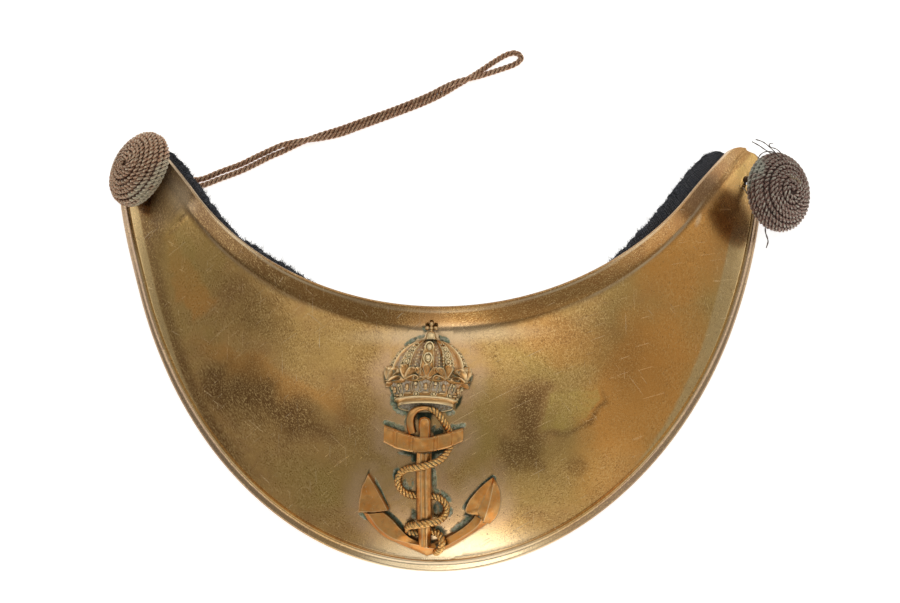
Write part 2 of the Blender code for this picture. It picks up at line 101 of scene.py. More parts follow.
def on_bowl(x, y, height=0.0):
    """Points of the plate frame a height above the bowl, as an array."""
    x, y, height = np.broadcast_arrays(*(np.asarray(part, float) for part in (x, y, height)))
    radius = np.where(y > CREST_Y, UPPER_RADIUS, LOWER_RADIUS)
    across = np.sqrt(WRAP_RADIUS**2 - x**2)
    along = np.sqrt(radius**2 - (y - CREST_Y) ** 2)
    surface = np.stack([x, y, across - WRAP_RADIUS + along - radius], -1)
    normal = np.stack([x / across, (y - CREST_Y) / along, np.ones_like(x)], -1)
    normal /= np.linalg.norm(normal, axis=-1, keepdims=True)
    return surface + normal * height[..., None]


def neck_edge(u):
    angle = u * NECK_SPAN
    flare = TIP_FLARE * (np.maximum(0.0, np.abs(u) - TIP_START) / (1.0 - TIP_START)) ** 2
    x = NECK_SHIFT + NECK_HALF_WIDTH * np.sin(angle) + np.sign(u) * flare
    return np.stack([x, NECK_CENTRE_Y - NECK_DROP * np.cos(angle) - NECK_SAG * (1.0 - u * u)], -1)


def outer_edge(u):
    angle = u * RIM_SPAN
    swell = 0.9 * smooth_step(u, 0.25, 0.7) - 1.5 * smooth_step(-u, 0.78, 0.97)
    return np.stack([RIM_HALF_WIDTH * np.sin(angle) + swell, RIM_CENTRE_Y - RIM_DROP * np.cos(angle)], -1)


def rib_length(u):
    return np.linalg.norm(outer_edge(u) - neck_edge(u), axis=-1)


def rib_points(u, distance, height):
    """Points a distance from the neck edge along the ribs at u: all three may be arrays."""
    start = neck_edge(u)
    way = outer_edge(u) - start
    way /= np.linalg.norm(way, axis=-1, keepdims=True)
    spot = start + way * distance[..., None]
    return set_down(on_bowl(spot[..., 0], spot[..., 1], height))


def set_down(points):
    """Points of the plate frame, eased forward near the floor: the horns' tips rest on it and don't reach through."""
    above = points[..., 1] * math.sin(REST_TILT) + points[..., 2] * math.cos(REST_TILT) + REST_PLACE[2]
    eased = TIP_EASE * np.logaddexp(0.0, (TIP_CLEARANCE - above) / TIP_EASE)
    return points + eased[..., None] * np.array((0.0, 0.0, 1.0 / math.cos(REST_TILT)))


def smooth_step(value, low, high):
    share = np.clip((np.asarray(value, float) - low) / (high - low), 0.0, 1.0)
    return share * share * (3.0 - 2.0 * share)


def hump(value, width):
    """1 where a value is 0, falling to nothing on both sides of it."""
    return np.exp(-((value / width) ** 2))


def lengths_along(points):
    """Length of a line of points up to each of them."""
    return np.concatenate([[0.0], np.cumsum(np.linalg.norm(np.diff(points, axis=0), axis=1))])


def grain(points, size, seed=0.0, octaves=2):
    """Smooth noise about 0 at points, with features of a size in millimetres."""
    shift = Vector((seed * 17.3, seed * 5.1, seed * 9.7))
    flat = np.asarray(points, float).reshape(-1, 3) / size
    made = [noise.fractal(Vector(point) + shift, 0.6, 2.0, octaves) for point in flat]
    return np.array(made).reshape(np.asarray(points).shape[:-1])


# ---------------------------------------------------------------- meshes


class Shape:
    """Vertices and faces in millimetres, with named numbers kept for each vertex."""

    def __init__(self):
        self.points, self.faces, self.marks, self.count = [], [], [], 0

    def add(self, points, faces, **marks):
        points = np.asarray(points, float).reshape(-1, 3)
        self.faces += [tuple(corner + self.count for corner in face) for face in faces]
        self.points.append(points)
        self.marks.append({name: np.broadcast_to(np.ravel(value), len(points)) for name, value in marks.items()})
        self.count += len(points)

    def grid(self, points, closed_rows=False, closed_columns=False, capped=None, **marks):
        """Quads over an array of rows by columns by 3; the first and last of its rows or columns may be capped."""
        rows, columns = points.shape[:2]
        numbers = np.arange(rows * columns).reshape(rows, columns)
        caps = {"rows": (numbers[0, ::-1], numbers[-1]), "columns": (numbers[:, 0], numbers[:, -1]), None: ()}[capped]
        faces = []
        for row in range(rows if closed_rows else rows - 1):
            for column in range(columns if closed_columns else columns - 1):
                after, beside = (row + 1) % rows, (column + 1) % columns
                faces.append((row * columns + column, row * columns + beside,
                              after * columns + beside, after * columns + column))
        faces += [tuple(cap.tolist()) for cap in caps]
        self.add(points, faces, **{name: np.broadcast_to(value, (rows, columns)) for name, value in marks.items()})

    def all_points(self):
        return np.concatenate(self.points)

    def mark(self, name):
        return np.concatenate([part.get(name, np.zeros(len(pts))) for part, pts in zip(self.marks, self.points)])

    def parted(self, values):
        """Values of every vertex, split into those of each part that was added."""
        return np.split(values, np.cumsum([len(part) for part in self.points])[:-1])

    def move(self, change):
        """Put every vertex where change(points) says."""
        self.points = self.parted(change(self.all_points()))


def laid_down(points):
    """From the plate's frame in millimetres to the table's in metres."""
    turn = np.array(LAID_DOWN.to_3x3())
    return (points @ turn.T + np.array(LAID_DOWN.translation)) * MM


def piece(name, shape, finish, stands_for=(), crease=40.0, carried=laid_down, marks=()):
    """Object of the gorget from a shape, with its finish, set under the body and hiding the parts it stands for."""
    mesh = bpy.data.meshes.new(name)
    mesh.from_pydata(carried(shape.all_points()).tolist(), [], shape.faces)
    for mark in marks:
        values = mesh.attributes.new(mark, "FLOAT", "POINT")
        values.data.foreach_set("value", shape.mark(mark).astype(np.float32))
    mesh.validate()
    bm = bmesh.new()
    bm.from_mesh(mesh)
    bmesh.ops.recalc_face_normals(bm, faces=bm.faces)
    bm.to_mesh(mesh)
    bm.free()
    mesh.shade_smooth()
    mesh.set_sharp_from_angle(angle=math.radians(crease))
    mesh.materials.append(finish)
    obj = bpy.data.objects.new(name, mesh)
    bpy.context.scene.collection.objects.link(obj)
    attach(obj, "root")
    if stands_for:
        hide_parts(*stands_for)
    return obj


def smooth_route(knots, spacing):
    """Evenly spaced points on a smooth curve through the knots."""
    knots = np.asarray(knots, float)
    padded = np.concatenate([[2 * knots[0] - knots[1]], knots, [2 * knots[-1] - knots[-2]]])
    share = np.linspace(0, 1, 24, endpoint=False)[:, None]
    fine = []
    for p0, p1, p2, p3 in zip(padded, padded[1:], padded[2:], padded[3:]):
        fine.append(0.5 * (2 * p1 + (p2 - p0) * share + (2 * p0 - 5 * p1 + 4 * p2 - p3) * share**2
                           + (3 * p1 - p0 - 3 * p2 + p3) * share**3))
    fine = np.concatenate([*fine, knots[-1:]])
    lengths = lengths_along(fine)
    count = max(2, round(lengths[-1] / spacing))
    wanted = np.linspace(0, lengths[-1], count + 1)
    return np.stack([np.interp(wanted, lengths, fine[:, axis]) for axis in range(3)], 1)


def unit(vectors):
    return vectors / np.maximum(np.linalg.norm(vectors, axis=-1, keepdims=True), 1e-12)


def carried_frames(route):
    """Two directions across a route at each of its points, that don't twist about it."""
    along = unit(np.gradient(route, axis=0))
    side = np.cross(along[0], (0.0, 0.0, 1.0))
    if np.linalg.norm(side) < 0.1:
        side = np.cross(along[0], (0.0, 1.0, 0.0))
    sides = []
    for way in along:
        side = side - way * (side @ way)
        side = side / np.linalg.norm(side)
        sides.append(side)
    sides = np.array(sides)
    return sides, np.cross(along, sides)


def add_tube(shape, centres, radius, sides=8, closed=False, **marks):
    """Round tube along centres; radius may be one number or one for each."""
    side, over = carried_frames(centres)
    angles = np.arange(sides) * TURN / sides
    radius = np.broadcast_to(radius, len(centres))[:, None, None]
    ring = side[:, None] * np.cos(angles)[:, None] + over[:, None] * np.sin(angles)[:, None]
    shape.grid(centres[:, None] + ring * radius, closed_rows=closed, closed_columns=True,
               capped=None if closed else "rows", **marks)


def add_laid_rope(shape, route, radius, strands, lay, sides=7, wobble=0.0, **marks):
    """Rope of twisted strands along a route: lay is the length of one turn."""
    side, over = carried_frames(route)
    travelled = lengths_along(route)
    spread = {2: 0.5, 3: 0.536}[strands] * radius
    thick = radius - spread
    for strand in range(strands):
        angle = TURN * (travelled / lay + strand / strands) + wobble * np.sin(travelled * 0.9)
        outward = side * np.cos(angle)[:, None] + over * np.sin(angle)[:, None]
        centres = route + outward * spread
        way = unit(np.gradient(centres, axis=0))
        first = unit(outward - way * (outward * way).sum(1, keepdims=True))
        second = np.cross(way, first)
        turns = np.arange(sides) * TURN / sides
        ring = first[:, None] * np.cos(turns)[:, None] + second[:, None] * np.sin(turns)[:, None]
        reach = np.linalg.norm((outward * spread)[:, None] + ring * thick, axis=-1)
        # shelter rises towards the rope's middle: painted shade in the gaps between strands
        shape.grid(centres[:, None] + ring * thick * 1.04, closed_columns=True, capped="rows",
                   run=travelled[:, None], turn=turns / TURN,
                   shelter=1.0 - smooth_step(reach, 0.45 * radius, 0.95 * radius), **marks)


def add_bead(shape, centre, size, axes=None, rings=7, sides=12, **marks):
    """Ellipsoid with half sizes along three axes."""
    axes = np.eye(3) if axes is None else np.asarray(axes, float)
    polar = np.linspace(0, math.pi, rings + 2)[1:-1, None]
    round_it = np.arange(sides) * TURN / sides
    ball = np.stack([np.sin(polar) * np.cos(round_it), np.sin(polar) * np.sin(round_it),
                     np.cos(polar) * np.ones_like(round_it)], -1)
    start = shape.count
    put = lambda local: (local * np.asarray(size, float)) @ axes + np.asarray(centre, float)
    shape.grid(put(ball), closed_columns=True, **marks)
    first, last = shape.count - sides, shape.count
    shape.add(put(np.array([(0, 0, 1.0), (0, 0, -1.0)])), [], **marks)
    for column in range(sides):
        beside = (column + 1) % sides
        shape.faces.append((start + beside, start + column, last))
        shape.faces.append((first + column, first + beside, last + 1))


# ---------------------------------------------------------------- finishes


class Signal:
    """One output of some nodes: arithmetic on it adds Math nodes."""

    def __init__(self, nodes, socket):
        self.nodes, self.socket = nodes, socket

    def math(self, operation, *values):
        return self.nodes.node("Math", {"operation": operation}, dict(enumerate(values)))

    def __add__(self, other):
        return self.math("ADD", self, other)

    def __sub__(self, other):
        return self.math("SUBTRACT", self, other)

    def __rsub__(self, other):
        return self.math("SUBTRACT", other, self)

    def __mul__(self, other):
        return self.math("MULTIPLY", self, other)

    __radd__ = __add__
    __rmul__ = __mul__

    def step(self, low, high):
        """0 below low, 1 above high and smooth between; the two may be the other way round."""
        settings = {"interpolation_type": "SMOOTHSTEP"}
        return self.nodes.node("MapRange", settings, {"Value": self, "From Min": low, "From Max": high})

    def most(self, other):
        return self.math("MAXIMUM", self, other)

    def least(self, other):
        return self.math("MINIMUM", self, other)

    def wave(self, length):
        """0 to 1 and back in each length."""
        return self.math("SINE", self * (TURN / length)) * 0.5 + 0.5


class Nodes:
    """The nodes of a material or a world."""

    def __init__(self, tree):
        self.tree = tree

    def node(self, kind, settings=None, values=None, output=0):
        made = self.tree.nodes.new("ShaderNode" + kind)
        for name, value in (settings or {}).items():
            setattr(made, name, value)
        for socket, value in (values or {}).items():
            self.join(value, made.inputs[socket])
        return Signal(self, made.outputs[output])

    def join(self, value, socket):
        if isinstance(value, Signal):
            self.tree.links.new(value.socket, socket)
        elif hasattr(value, "__len__") and len(value) == 3 and len(getattr(socket, "default_value", ())) == 4:
            socket.default_value = (*value, 1.0)
        else:
            socket.default_value = value


class Finish(Nodes):
    """A node material, with short names for common nodes."""

    def __init__(self, name, **uniform):
        self.material = bpy.data.materials.new(name)
        self.material.use_nodes = True
        super().__init__(self.material.node_tree)
        self.shader = self.tree.nodes["Principled BSDF"]
        self.feeds(**uniform)

    def feeds(self, **values):
        for socket, value in values.items():
            self.join(value, self.shader.inputs[socket.replace("_", " ")])
        return self.material

    def place(self):
        """Place on the gorget, in millimetres."""
        spot = self.node("TexCoord", output="Object")
        return self.node("VectorMath", {"operation": "SCALE"}, {0: spot, "Scale": 1.0 / MM})

    def stretched(self, place, turn, size):
        return self.node("Mapping", {"vector_type": "TEXTURE"}, {"Vector": place, "Rotation": turn, "Scale": size})

    def noise(self, place, size, detail=2.0, roughness=0.5, distortion=0.0):
        values = {"Vector": place, "Scale": 1.0 / size, "Detail": detail,
                  "Roughness": roughness, "Distortion": distortion}
        return self.node("TexNoise", {}, values)

    def cells(self, place, size):
        """Distance to the nearest of scattered points that lie a size apart."""
        return self.node("TexVoronoi", {"feature": "F1"}, {"Vector": place, "Scale": 1.0 / size, "Randomness": 1.0})

    def mark(self, name):
        return self.node("Attribute", {"attribute_type": "GEOMETRY", "attribute_name": name}, output="Fac")

    def coated(self, colour, *coats):
        """A colour under coats, each a colour and the share of it that shows."""
        for coat, share in coats:
            colour = self.node("Mix", {"data_type": "RGBA"}, {0: share, 6: colour, 7: coat}, output=2)
        return colour

    def relief(self, height, depth, under=None):
        """Bump of a depth in millimetres, over another one."""
        values = {"Height": height, "Distance": depth * MM, "Strength": 1.0}
        if under is not None:
            values["Normal"] = under
        return self.node("Bump", {}, values)


def strokes(finish, place, turn, size, long):
    """Short strokes that run one way, from 0 to 1."""
    drawn = finish.stretched(place, (0.0, 0.0, turn), (size * long, size, size))
    return finish.noise(drawn, 1.0, 2.0, 0.6, 0.4)


def scratches(finish, place, turn, thin, share):
    """Thin scratches that run one way: 1 on a scratch."""
    drawn = finish.stretched(place, (0.0, 0.0, turn), (14.0, 0.22, 4.0))
    lines = finish.noise(drawn, 1.0, 1.0, 0.4, 0.6)
    patches = finish.noise(place, 9.0, 2.0).step(share, share + 0.08)
    return lines.step(1.0 - thin, 1.03 - thin) * patches


PALE_BRASS = (0.82, 0.66, 0.44)
GOLDEN_BRASS = (0.62, 0.37, 0.13)
BROWN_BRASS = (0.47, 0.26, 0.10)
OLIVE_BRASS = (0.54, 0.355, 0.11)
ORANGE_BRASS = (0.76, 0.35, 0.085)
TARNISH = (0.17, 0.10, 0.045)
VERDIGRIS = (0.21, 0.37, 0.26)
PALE_VERDIGRIS = (0.58, 0.64, 0.53)
DEEP_VERDIGRIS = (0.03, 0.048, 0.028)


def old_brass():
    """The crescent: thin brown and olive patina, paler where hands have worn it, spotted and finely scratched, with
    painted highlights, painted reflections of the room and painted shade on the collar and about the emblem and
    buttons.
    """
    finish = Finish("old_brass_plate", Metallic=1.0, IOR=1.45)
    place = finish.place()
    clouds = finish.noise(place, 34.0, 4.0, 0.62, 0.6)
    patches = finish.noise(place, 12.0, 5.0, 0.66, 0.9)
    mottle = finish.noise(place, 2.6, 4.0, 0.7)
    speckle = finish.noise(place, 0.7, 3.0, 0.75)
    edge, halo, grime, growth = (finish.mark(name) for name in ("handled", "halo", "grime", "growth"))
    warm, dim, olive = finish.mark("warm"), finish.mark("dim"), finish.mark("olive")
    strip, fold, matt = finish.mark("strip"), finish.mark("fold"), finish.mark("matt") * (0.35 + 0.6 * patches)
    lean = finish.noise(place, 16.0, 1.0).step(0.45, 0.55)
    short = strokes(finish, place, 2.05, 0.21, 3.6) * (1.0 - lean) + strokes(finish, place, 1.35, 0.20, 3.2) * lean
    short = short * 0.6 + strokes(finish, place, 0.4, 0.19, 3.4) * 0.4
    rough_area = finish.noise(place, 8.0, 3.0, 0.6).step(0.32, 0.55).most(dim)
    calm = 1.0 - 0.7 * halo.most(warm * 0.45)
    dark = (short.step(0.49, 0.36) * (0.25 + 0.75 * rough_area) * calm).least(1.0)
    light = (short.step(0.51, 0.62) * (0.35 + 0.65 * rough_area) * calm).least(1.0)
    pitted = speckle.step(0.58, 0.70) * (0.35 + 0.65 * rough_area)
    spots = finish.cells(place, 3.1).step(0.11, 0.05) * finish.noise(place, 7.0).step(0.5, 0.6)
    freckles = finish.cells(place, 1.15).step(0.2, 0.1) * patches.step(0.5, 0.64)
    fine = scratches(finish, place, 0.5, 0.27, 0.42).most(scratches(finish, place, -0.75, 0.26, 0.47))
    fine = fine.most(scratches(finish, place, 1.6, 0.27, 0.5))
    crust = (growth * (0.25 + 1.3 * finish.noise(place, 0.9, 4.0, 0.75))).step(0.40, 0.80)
    salt = finish.coated(DEEP_VERDIGRIS, (VERDIGRIS, finish.noise(place, 0.75, 4.0, 0.75).step(0.38, 0.54)),
                         (PALE_VERDIGRIS, speckle.step(0.47, 0.60) * 0.85))
    colour = finish.coated(
        GOLDEN_BRASS, (BROWN_BRASS, patches.step(0.40, 0.62) * 0.7),
        # olive: random clouds and patches, and painted reflections of the room
        (OLIVE_BRASS, (clouds.step(0.46, 0.58) * 0.6 + olive * 0.95).least(1.0)),
        # orange: warm patches, and a painted reflection on the left horn
        (ORANGE_BRASS, (warm * (0.5 + 0.7 * clouds)).least(1.0)),
        # bright yellow-green in the strongest olive: the painted reflection spot
        ((0.63, 0.44, 0.125), olive.step(0.72, 1.0) * patches.step(0.3, 0.6) * 0.75),
        # dark brown: random dim patches, and painted dark reflections and painted collar shade
        ((0.19, 0.092, 0.032), (dim * (0.35 + 0.55 * patches + 0.4 * short.step(0.58, 0.42))).least(1.0)),
        ((0.80, 0.54, 0.33), halo * patches.step(0.25, 0.6) * 0.55),
        # painted shade over the collar, near black where it is strongest on the left
        ((0.31, 0.145, 0.044), (fold * (0.55 + 0.7 * patches)).least(1.0)),
        ((0.15, 0.08, 0.027), fold.step(0.94, 1.0) * 0.75),
        # dull brown by the buttons, partly painted shade under the left one
        ((0.23, 0.15, 0.085), matt * 0.8),
        # painted reflection of the pale table along the horns' outer edges
        ((0.64, 0.46, 0.22), (strip * (0.6 + 0.5 * mottle)).least(1.0)),
        ((0.34, 0.215, 0.145), (finish.mark("bead") * (0.6 + 0.6 * patches)).least(0.95)),
        ((0.22, 0.115, 0.045), dark * (0.66 + 0.1 * dim)),
        ((0.86, 0.60, 0.27), light * (0.68 + 0.1 * dim)),
        ((0.20, 0.10, 0.04), pitted * 0.36),
        (TARNISH, (spots * 0.6 + freckles * 0.45).least(0.8)),
        (PALE_BRASS, fine * 0.5),
        # pale: worn edges, and painted highlights on the crease line, below the crease at the middle and on the lower
        # rim
        (PALE_BRASS, (edge * (0.72 + 0.5 * clouds)).least(1.0)),
        # dark: soiling in corners, and painted contact shade about the emblem and buttons
        (TARNISH, (grime * (0.55 + 0.9 * mottle)).least(0.92)),
        (salt, crust * 0.8),
        (DEEP_VERDIGRIS, (finish.mark("pit") * (0.5 + 0.9 * mottle)).least(0.95)))
    rough = 0.15 + patches * 0.10 + dark * 0.16 + speckle * 0.06
    rough = rough + freckles * 0.2 + spots * 0.2 + grime * 0.25 - edge * 0.06
    height = speckle * 0.6 + mottle * 0.5 + short * 0.9 - fine * 0.8 + crust * 5.0 * speckle
    bump = finish.relief(height, 0.014)
    return finish.feeds(Base_Color=colour, Roughness=(rough + crust * 0.5 + matt * 0.4).least(0.9),
                        Metallic=1.0 - (crust * 0.9).most(matt * 0.8), Normal=bump)


def gilt_brass(name, worn, rubbed, dirt_and_shade_share, warm):
    """The emblem: orange brass, brighter on what stands up, with pale salts in its hollows, which soiling and painted
    shade darken.
    """
    finish = Finish(name, Metallic=1.0)
    place = finish.place()
    mottle = finish.noise(place, 2.2, 4.0, 0.65)
    speckle = finish.noise(place, 0.45, 3.0, 0.7)
    hollow, proud, white = finish.mark("shelter"), finish.mark("proud"), finish.mark("salt")
    # darker the more sheltered a place is: soiling and painted shade in the hollows
    dirt_and_shade = (hollow + mottle * 0.35 - 0.17).step(0.36, 0.66)
    growth = (hollow + finish.noise(place, 1.1, 3.0, 0.6) * 0.7 - 0.35).step(0.55, 0.78)
    dusting = (white * (0.55 + 0.8 * finish.noise(place, 0.9, 3.0, 0.6)) - proud * 0.6).step(0.30, 0.85)
    salt = finish.coated(DEEP_VERDIGRIS, (VERDIGRIS, finish.noise(place, 0.8, 3.0, 0.7).step(0.42, 0.6)),
                         (PALE_VERDIGRIS, speckle.step(0.5, 0.64) * 0.9))
    dust = finish.coated((0.34, 0.26, 0.17), ((0.68, 0.64, 0.53), speckle.step(0.38, 0.6)))
    colour = finish.coated(
        warm, ((0.70, 0.38, 0.13), mottle.step(0.3, 0.7)),
        ((0.50, 0.24, 0.09), finish.noise(place, 1.2, 4.0, 0.7).step(0.5, 0.7) * 0.6),
        (rubbed, speckle.step(0.60, 0.72) * 0.45),
        (rubbed, (proud * (worn + 0.4 * mottle)).least(1.0)),
        ((0.075, 0.04, 0.02), dirt_and_shade * dirt_and_shade_share),
        (salt, growth * 0.6), (dust, dusting * 0.8))
    matt = growth.most(dusting)
    rough = 0.25 + mottle * 0.12 + dirt_and_shade * 0.22 + matt * 0.3
    bump = finish.relief(speckle * 0.6 + mottle, 0.02, finish.relief(finish.noise(place, 3.2, 1.0), 0.35))
    return finish.feeds(Base_Color=colour, Roughness=rough.least(0.9), Metallic=1.0 - matt * 0.8, Normal=bump)


def metal_thread(name, gap_shade, dark, light, pale, shine, deep=(0.55, 1.0)):
    """Metal thread twisted into cord: fine threads along each strand, with painted shade in the gaps and painted light
    and glints on the crests.
    """
    finish = Finish(name)
    place = finish.place()
    run, turn = finish.mark("run"), finish.mark("turn")
    threads = (turn * 6.0 + run * 1.3).wave(1.0)
    mottle = finish.noise(place, 1.5, 4.0, 0.7)
    clouds = finish.noise(place, 4.5, 2.0, 0.5)
    glints = finish.noise(place, 0.33, 2.0, 0.6)
    stain, hollow = finish.mark("stain"), finish.mark("shelter")
    crest = 1.0 - hollow
    # lighter on the crests: painted light
    bright = mottle + clouds * 0.6 + glints * 1.1 + crest * 0.7 + threads * 0.16 - 1.50
    colour = finish.coated(
        dark, (light, (bright * 2.0).step(0.0, 1.0)),
        # painted glints on the crests
        (pale, (glints * 0.75 + crest * 0.25).step(0.57, 0.68) * 0.9),
        (pale, (stain * (0.35 + mottle + crest * 0.3)).step(0.30, 0.70) * 0.9),
        ((0.30, 0.36, 0.29), (stain * glints).step(0.3, 0.45) * 0.08),
        # painted shade in the grooves between the fine threads and in the gaps between strands
        (gap_shade, (1.0 - threads).step(0.6, 1.0) * 0.5),
        (gap_shade, (hollow + stain * 0.12).step(*deep) * 0.92))
    bump = finish.relief(threads + glints * 0.5, 0.08)
    return finish.feeds(Base_Color=colour, Roughness=0.62 - glints * 0.28,
                        Metallic=0.15 + shine * glints * crest, Normal=bump)


def black_wool():
    """Coarse black tape: ribs and weave with lint on it, and a blue cast where the light rakes it."""
    finish = Finish("black_tape", Roughness=0.95, Sheen_Weight=0.35, Sheen_Roughness=0.4,
                    Sheen_Tint=(0.45, 0.5, 0.62, 1.0))
    place = finish.place()
    run, across = finish.mark("run"), finish.mark("across")
    weave = run.wave(0.5) * across.wave(0.55)
    fuzz = finish.noise(place, 0.25, 4.0, 0.8)
    lint = finish.cells(place, 1.1).step(0.13, 0.05) * finish.noise(place, 6.0).step(0.47, 0.58)
    shade = finish.noise(place, 4.0, 3.0)
    colour = finish.coated(
        (0.006, 0.006, 0.008), ((0.21, 0.215, 0.245), weave * 0.45 + fuzz.step(0.45, 0.7) * 0.55),
        ((0.02, 0.03, 0.055), shade.step(0.5, 0.75) * 0.4), ((0.35, 0.36, 0.34), lint * 0.8))
    bump = finish.relief(weave * 0.6 + fuzz, 0.25)
    return finish.feeds(Base_Color=colour, Normal=bump)


def steel_wire():
    finish = Finish("shank_wire", Metallic=0.8)
    place = finish.place()
    rust = finish.noise(place, 0.9, 4.0, 0.7)
    colour = finish.coated((0.10, 0.065, 0.045), ((0.30, 0.20, 0.12), rust.step(0.4, 0.7)))
    return finish.feeds(Base_Color=colour, Roughness=0.45 + rust * 0.35, Normal=finish.relief(rust, 0.05))


# ---------------------------------------------------------------- camera and cord


def set_camera():
    yaw = Matrix.Rotation(-CAMERA_YAW, 3, "Y")
    roll = Matrix.Rotation(-CAMERA_ROLL, 3, "Z")
    axes = (roll @ yaw).transposed()
    place = axes @ Vector((0.0, 0.0, CAMERA_DISTANCE))
    back = (place - Vector(CAMERA_AIM)).normalized()
    up = axes @ Vector((0.0, 1.0, 0.0))
    side = up.cross(back).normalized()
    turned = Matrix((side, back.cross(side), back)).transposed().to_4x4()
    data = bpy.data.cameras.new("camera")
    data.lens = CAMERA_LENS
    data.sensor_width = 36.0
    data.clip_start = 0.01
    camera = bpy.data.objects.new("camera", data)
    bpy.context.scene.collection.objects.link(camera)
    laid = LAID_DOWN @ Matrix.Translation(place) @ turned
    laid.translation *= MM
    camera.matrix_world = laid
    bpy.context.scene.camera = camera


CORD_LAY = 3.7  # length in which a strand goes once round
CORD_STEP = 0.3
THREAD_MARKS = ("run", "turn", "stain", "shelter")
# of the thread in the gaps, a painted shade, on its sides and on its crests, and of its painted glints
CORD_COLOURS = ((0.02, 0.008, 0.005), (0.10, 0.042, 0.022), (0.60, 0.29, 0.155), (0.95, 0.68, 0.45))


def make_cord():
    route = smooth_route(CORD_ROUTE, CORD_STEP)
    shape = Shape()
    add_laid_rope(shape, route, 0.53 * CORD_DIAMETER, 3, -CORD_LAY, sides=8, wobble=0.12)
    finish = metal_thread("cord_thread", *CORD_COLOURS, 0.35, (0.12, 0.6))
    cord = piece("shoulder_cord", shape, finish, ["cord"], carried=lambda points: points * MM,
                 marks=THREAD_MARKS)


# ---------------------------------------------------------------- plate

PLATE_THICKNESS = 0.9
PLATE_COLUMNS = 448
COLLAR_WIDTH = 4.3
COLLAR_RISE = 3.0
COLLAR_CURVE = 1.2
COLLAR_ROWS = 12
BODY_ROWS = 54
TIP_TAPER = 0.45
TIP_FADE = 0.75
TIP_ROUND = 0.03  # share of the span in which a horn's corners round off
TIP_CORNER = 2.4
RIM_WIDTH = 2.9
RIM_PROFILE = (
    # distance in from the outer edge as a share of the rim, height
    (1.10, 0.0), (1.03, -0.03), (0.98, -0.11), (0.93, -0.10), (0.89, 0.16), (0.85, 0.40), (0.79, 0.50),
    (0.72, 0.48), (0.66, 0.34), (0.58, 0.25), (0.42, 0.27), (0.26, 0.30), (0.13, 0.27), (0.05, 0.16), (0.0, 0.0),
)
SHANK_SEATS = ((-68.3, 51.4), (72.0, 50.6))
SHANK_HOLE = 1.1
FINE_GROUND = 2.8  # how far about the emblem the plate's front has a finer mesh
FRONT_SLACK = 0.06  # how far its vertices are from the smooth bowl, at most
DENTS = (
    # x, y, half length along, half width, turn in degrees, depth
    (69.4, 55.6, 2.6, 1.1, 35, 0.16), (68.6, 53.4, 2.2, 0.9, 60, 0.12),
    (-60.3, 40.2, 3.4, 0.5, 41, 0.10), (-54.0, 22.0, 16.0, 5.0, 62, 0.10), (-40.0, 6.0, 15.0, 8.0, 20, 0.07),
    (31.0, 0.5, 9.0, 6.0, -15, 0.10), (52.0, 12.0, 14.0, 6.0, -55, 0.08), (-22.0, -14.0, 10.0, 7.0, 30, 0.06),
    (24.0, -22.0, 9.0, 6.0, 10, 0.06), (58.2, 30.8, 1.0, 0.7, 0, 0.07),
)


def plate_section(u):
    """Distance and height of each station of the front at u, rounded in at the horn's tip."""
    length = rib_length(u)
    taper = 1.0 - TIP_TAPER * abs(u) ** 8
    collar, rim = COLLAR_WIDTH * taper, RIM_WIDTH * taper
    rise = COLLAR_RISE * (1.0 - TIP_FADE * abs(u) ** 5)
    share = np.linspace(0.0, 1.0, COLLAR_ROWS + 1)
    body = np.linspace(0.0, 1.0, BODY_ROWS + 1)[1:-1]
    inner = length - rim * RIM_PROFILE[0][0]
    rim_share, rim_height = np.array(RIM_PROFILE).T
    distance = np.concatenate([collar * share, collar + (inner - collar) * body, length - rim * rim_share])
    bead = 0.10 * hump(distance - collar, 0.35)
    raised = rim_height * (0.6 + 0.4 * taper) * (1.0 - smooth_step(abs(u), 0.95, 0.99))
    height = np.concatenate([rise * (1.0 - share) ** COLLAR_CURVE, 0 * body, raised]) + bead
    corner = max(0.0, (abs(u) - 1.0 + TIP_ROUND) / TIP_ROUND)
    inset = TIP_CORNER * (1.0 - math.sqrt(max(0.0, 1.0 - corner**2)))
    squeezed = inset + distance * (length - 2 * inset) / length
    return squeezed, height


def backed_section(distance, height, thickness):
    """Closed section: front stations, then the back's, each a thickness behind along the section's own normal."""
    slope = np.gradient(height, distance)
    norm = np.sqrt(1.0 + slope**2)
    back = np.stack([distance + slope / norm * thickness, height - thickness / norm], 1)
    front = np.stack([distance, height], 1)
    back[:, 0] = np.maximum.accumulate(back[:, 0])
    first = front[0] + (back[0] - front[0]) * np.array([[0.12], [0.88]]) + (front[0] - front[1]) * 0.12
    last = front[-1] + (back[-1] - front[-1]) * np.array([[0.25], [0.8]]) + (front[-1] - front[-2]) * 0.25
    return np.concatenate([front, last, back[::-1], first[::-1]])


def dented(points):
    """How far the plate is pushed in at places: dents and the unevenness of hand work."""
    x, y = points[..., 0], points[..., 1]
    depth = 0.035 * grain(points, 17.0, 1.0) + 0.010 * grain(points, 5.0, 2.0)
    for centre_x, centre_y, long, wide, turn, deep in DENTS:
        turn = math.radians(turn)
        along = (x - centre_x) * math.cos(turn) + (y - centre_y) * math.sin(turn)
        across = (y - centre_y) * math.cos(turn) - (x - centre_x) * math.sin(turn)
        depth = depth - deep * np.exp(-((along / long) ** 2) - (across / wide) ** 2)
    return depth


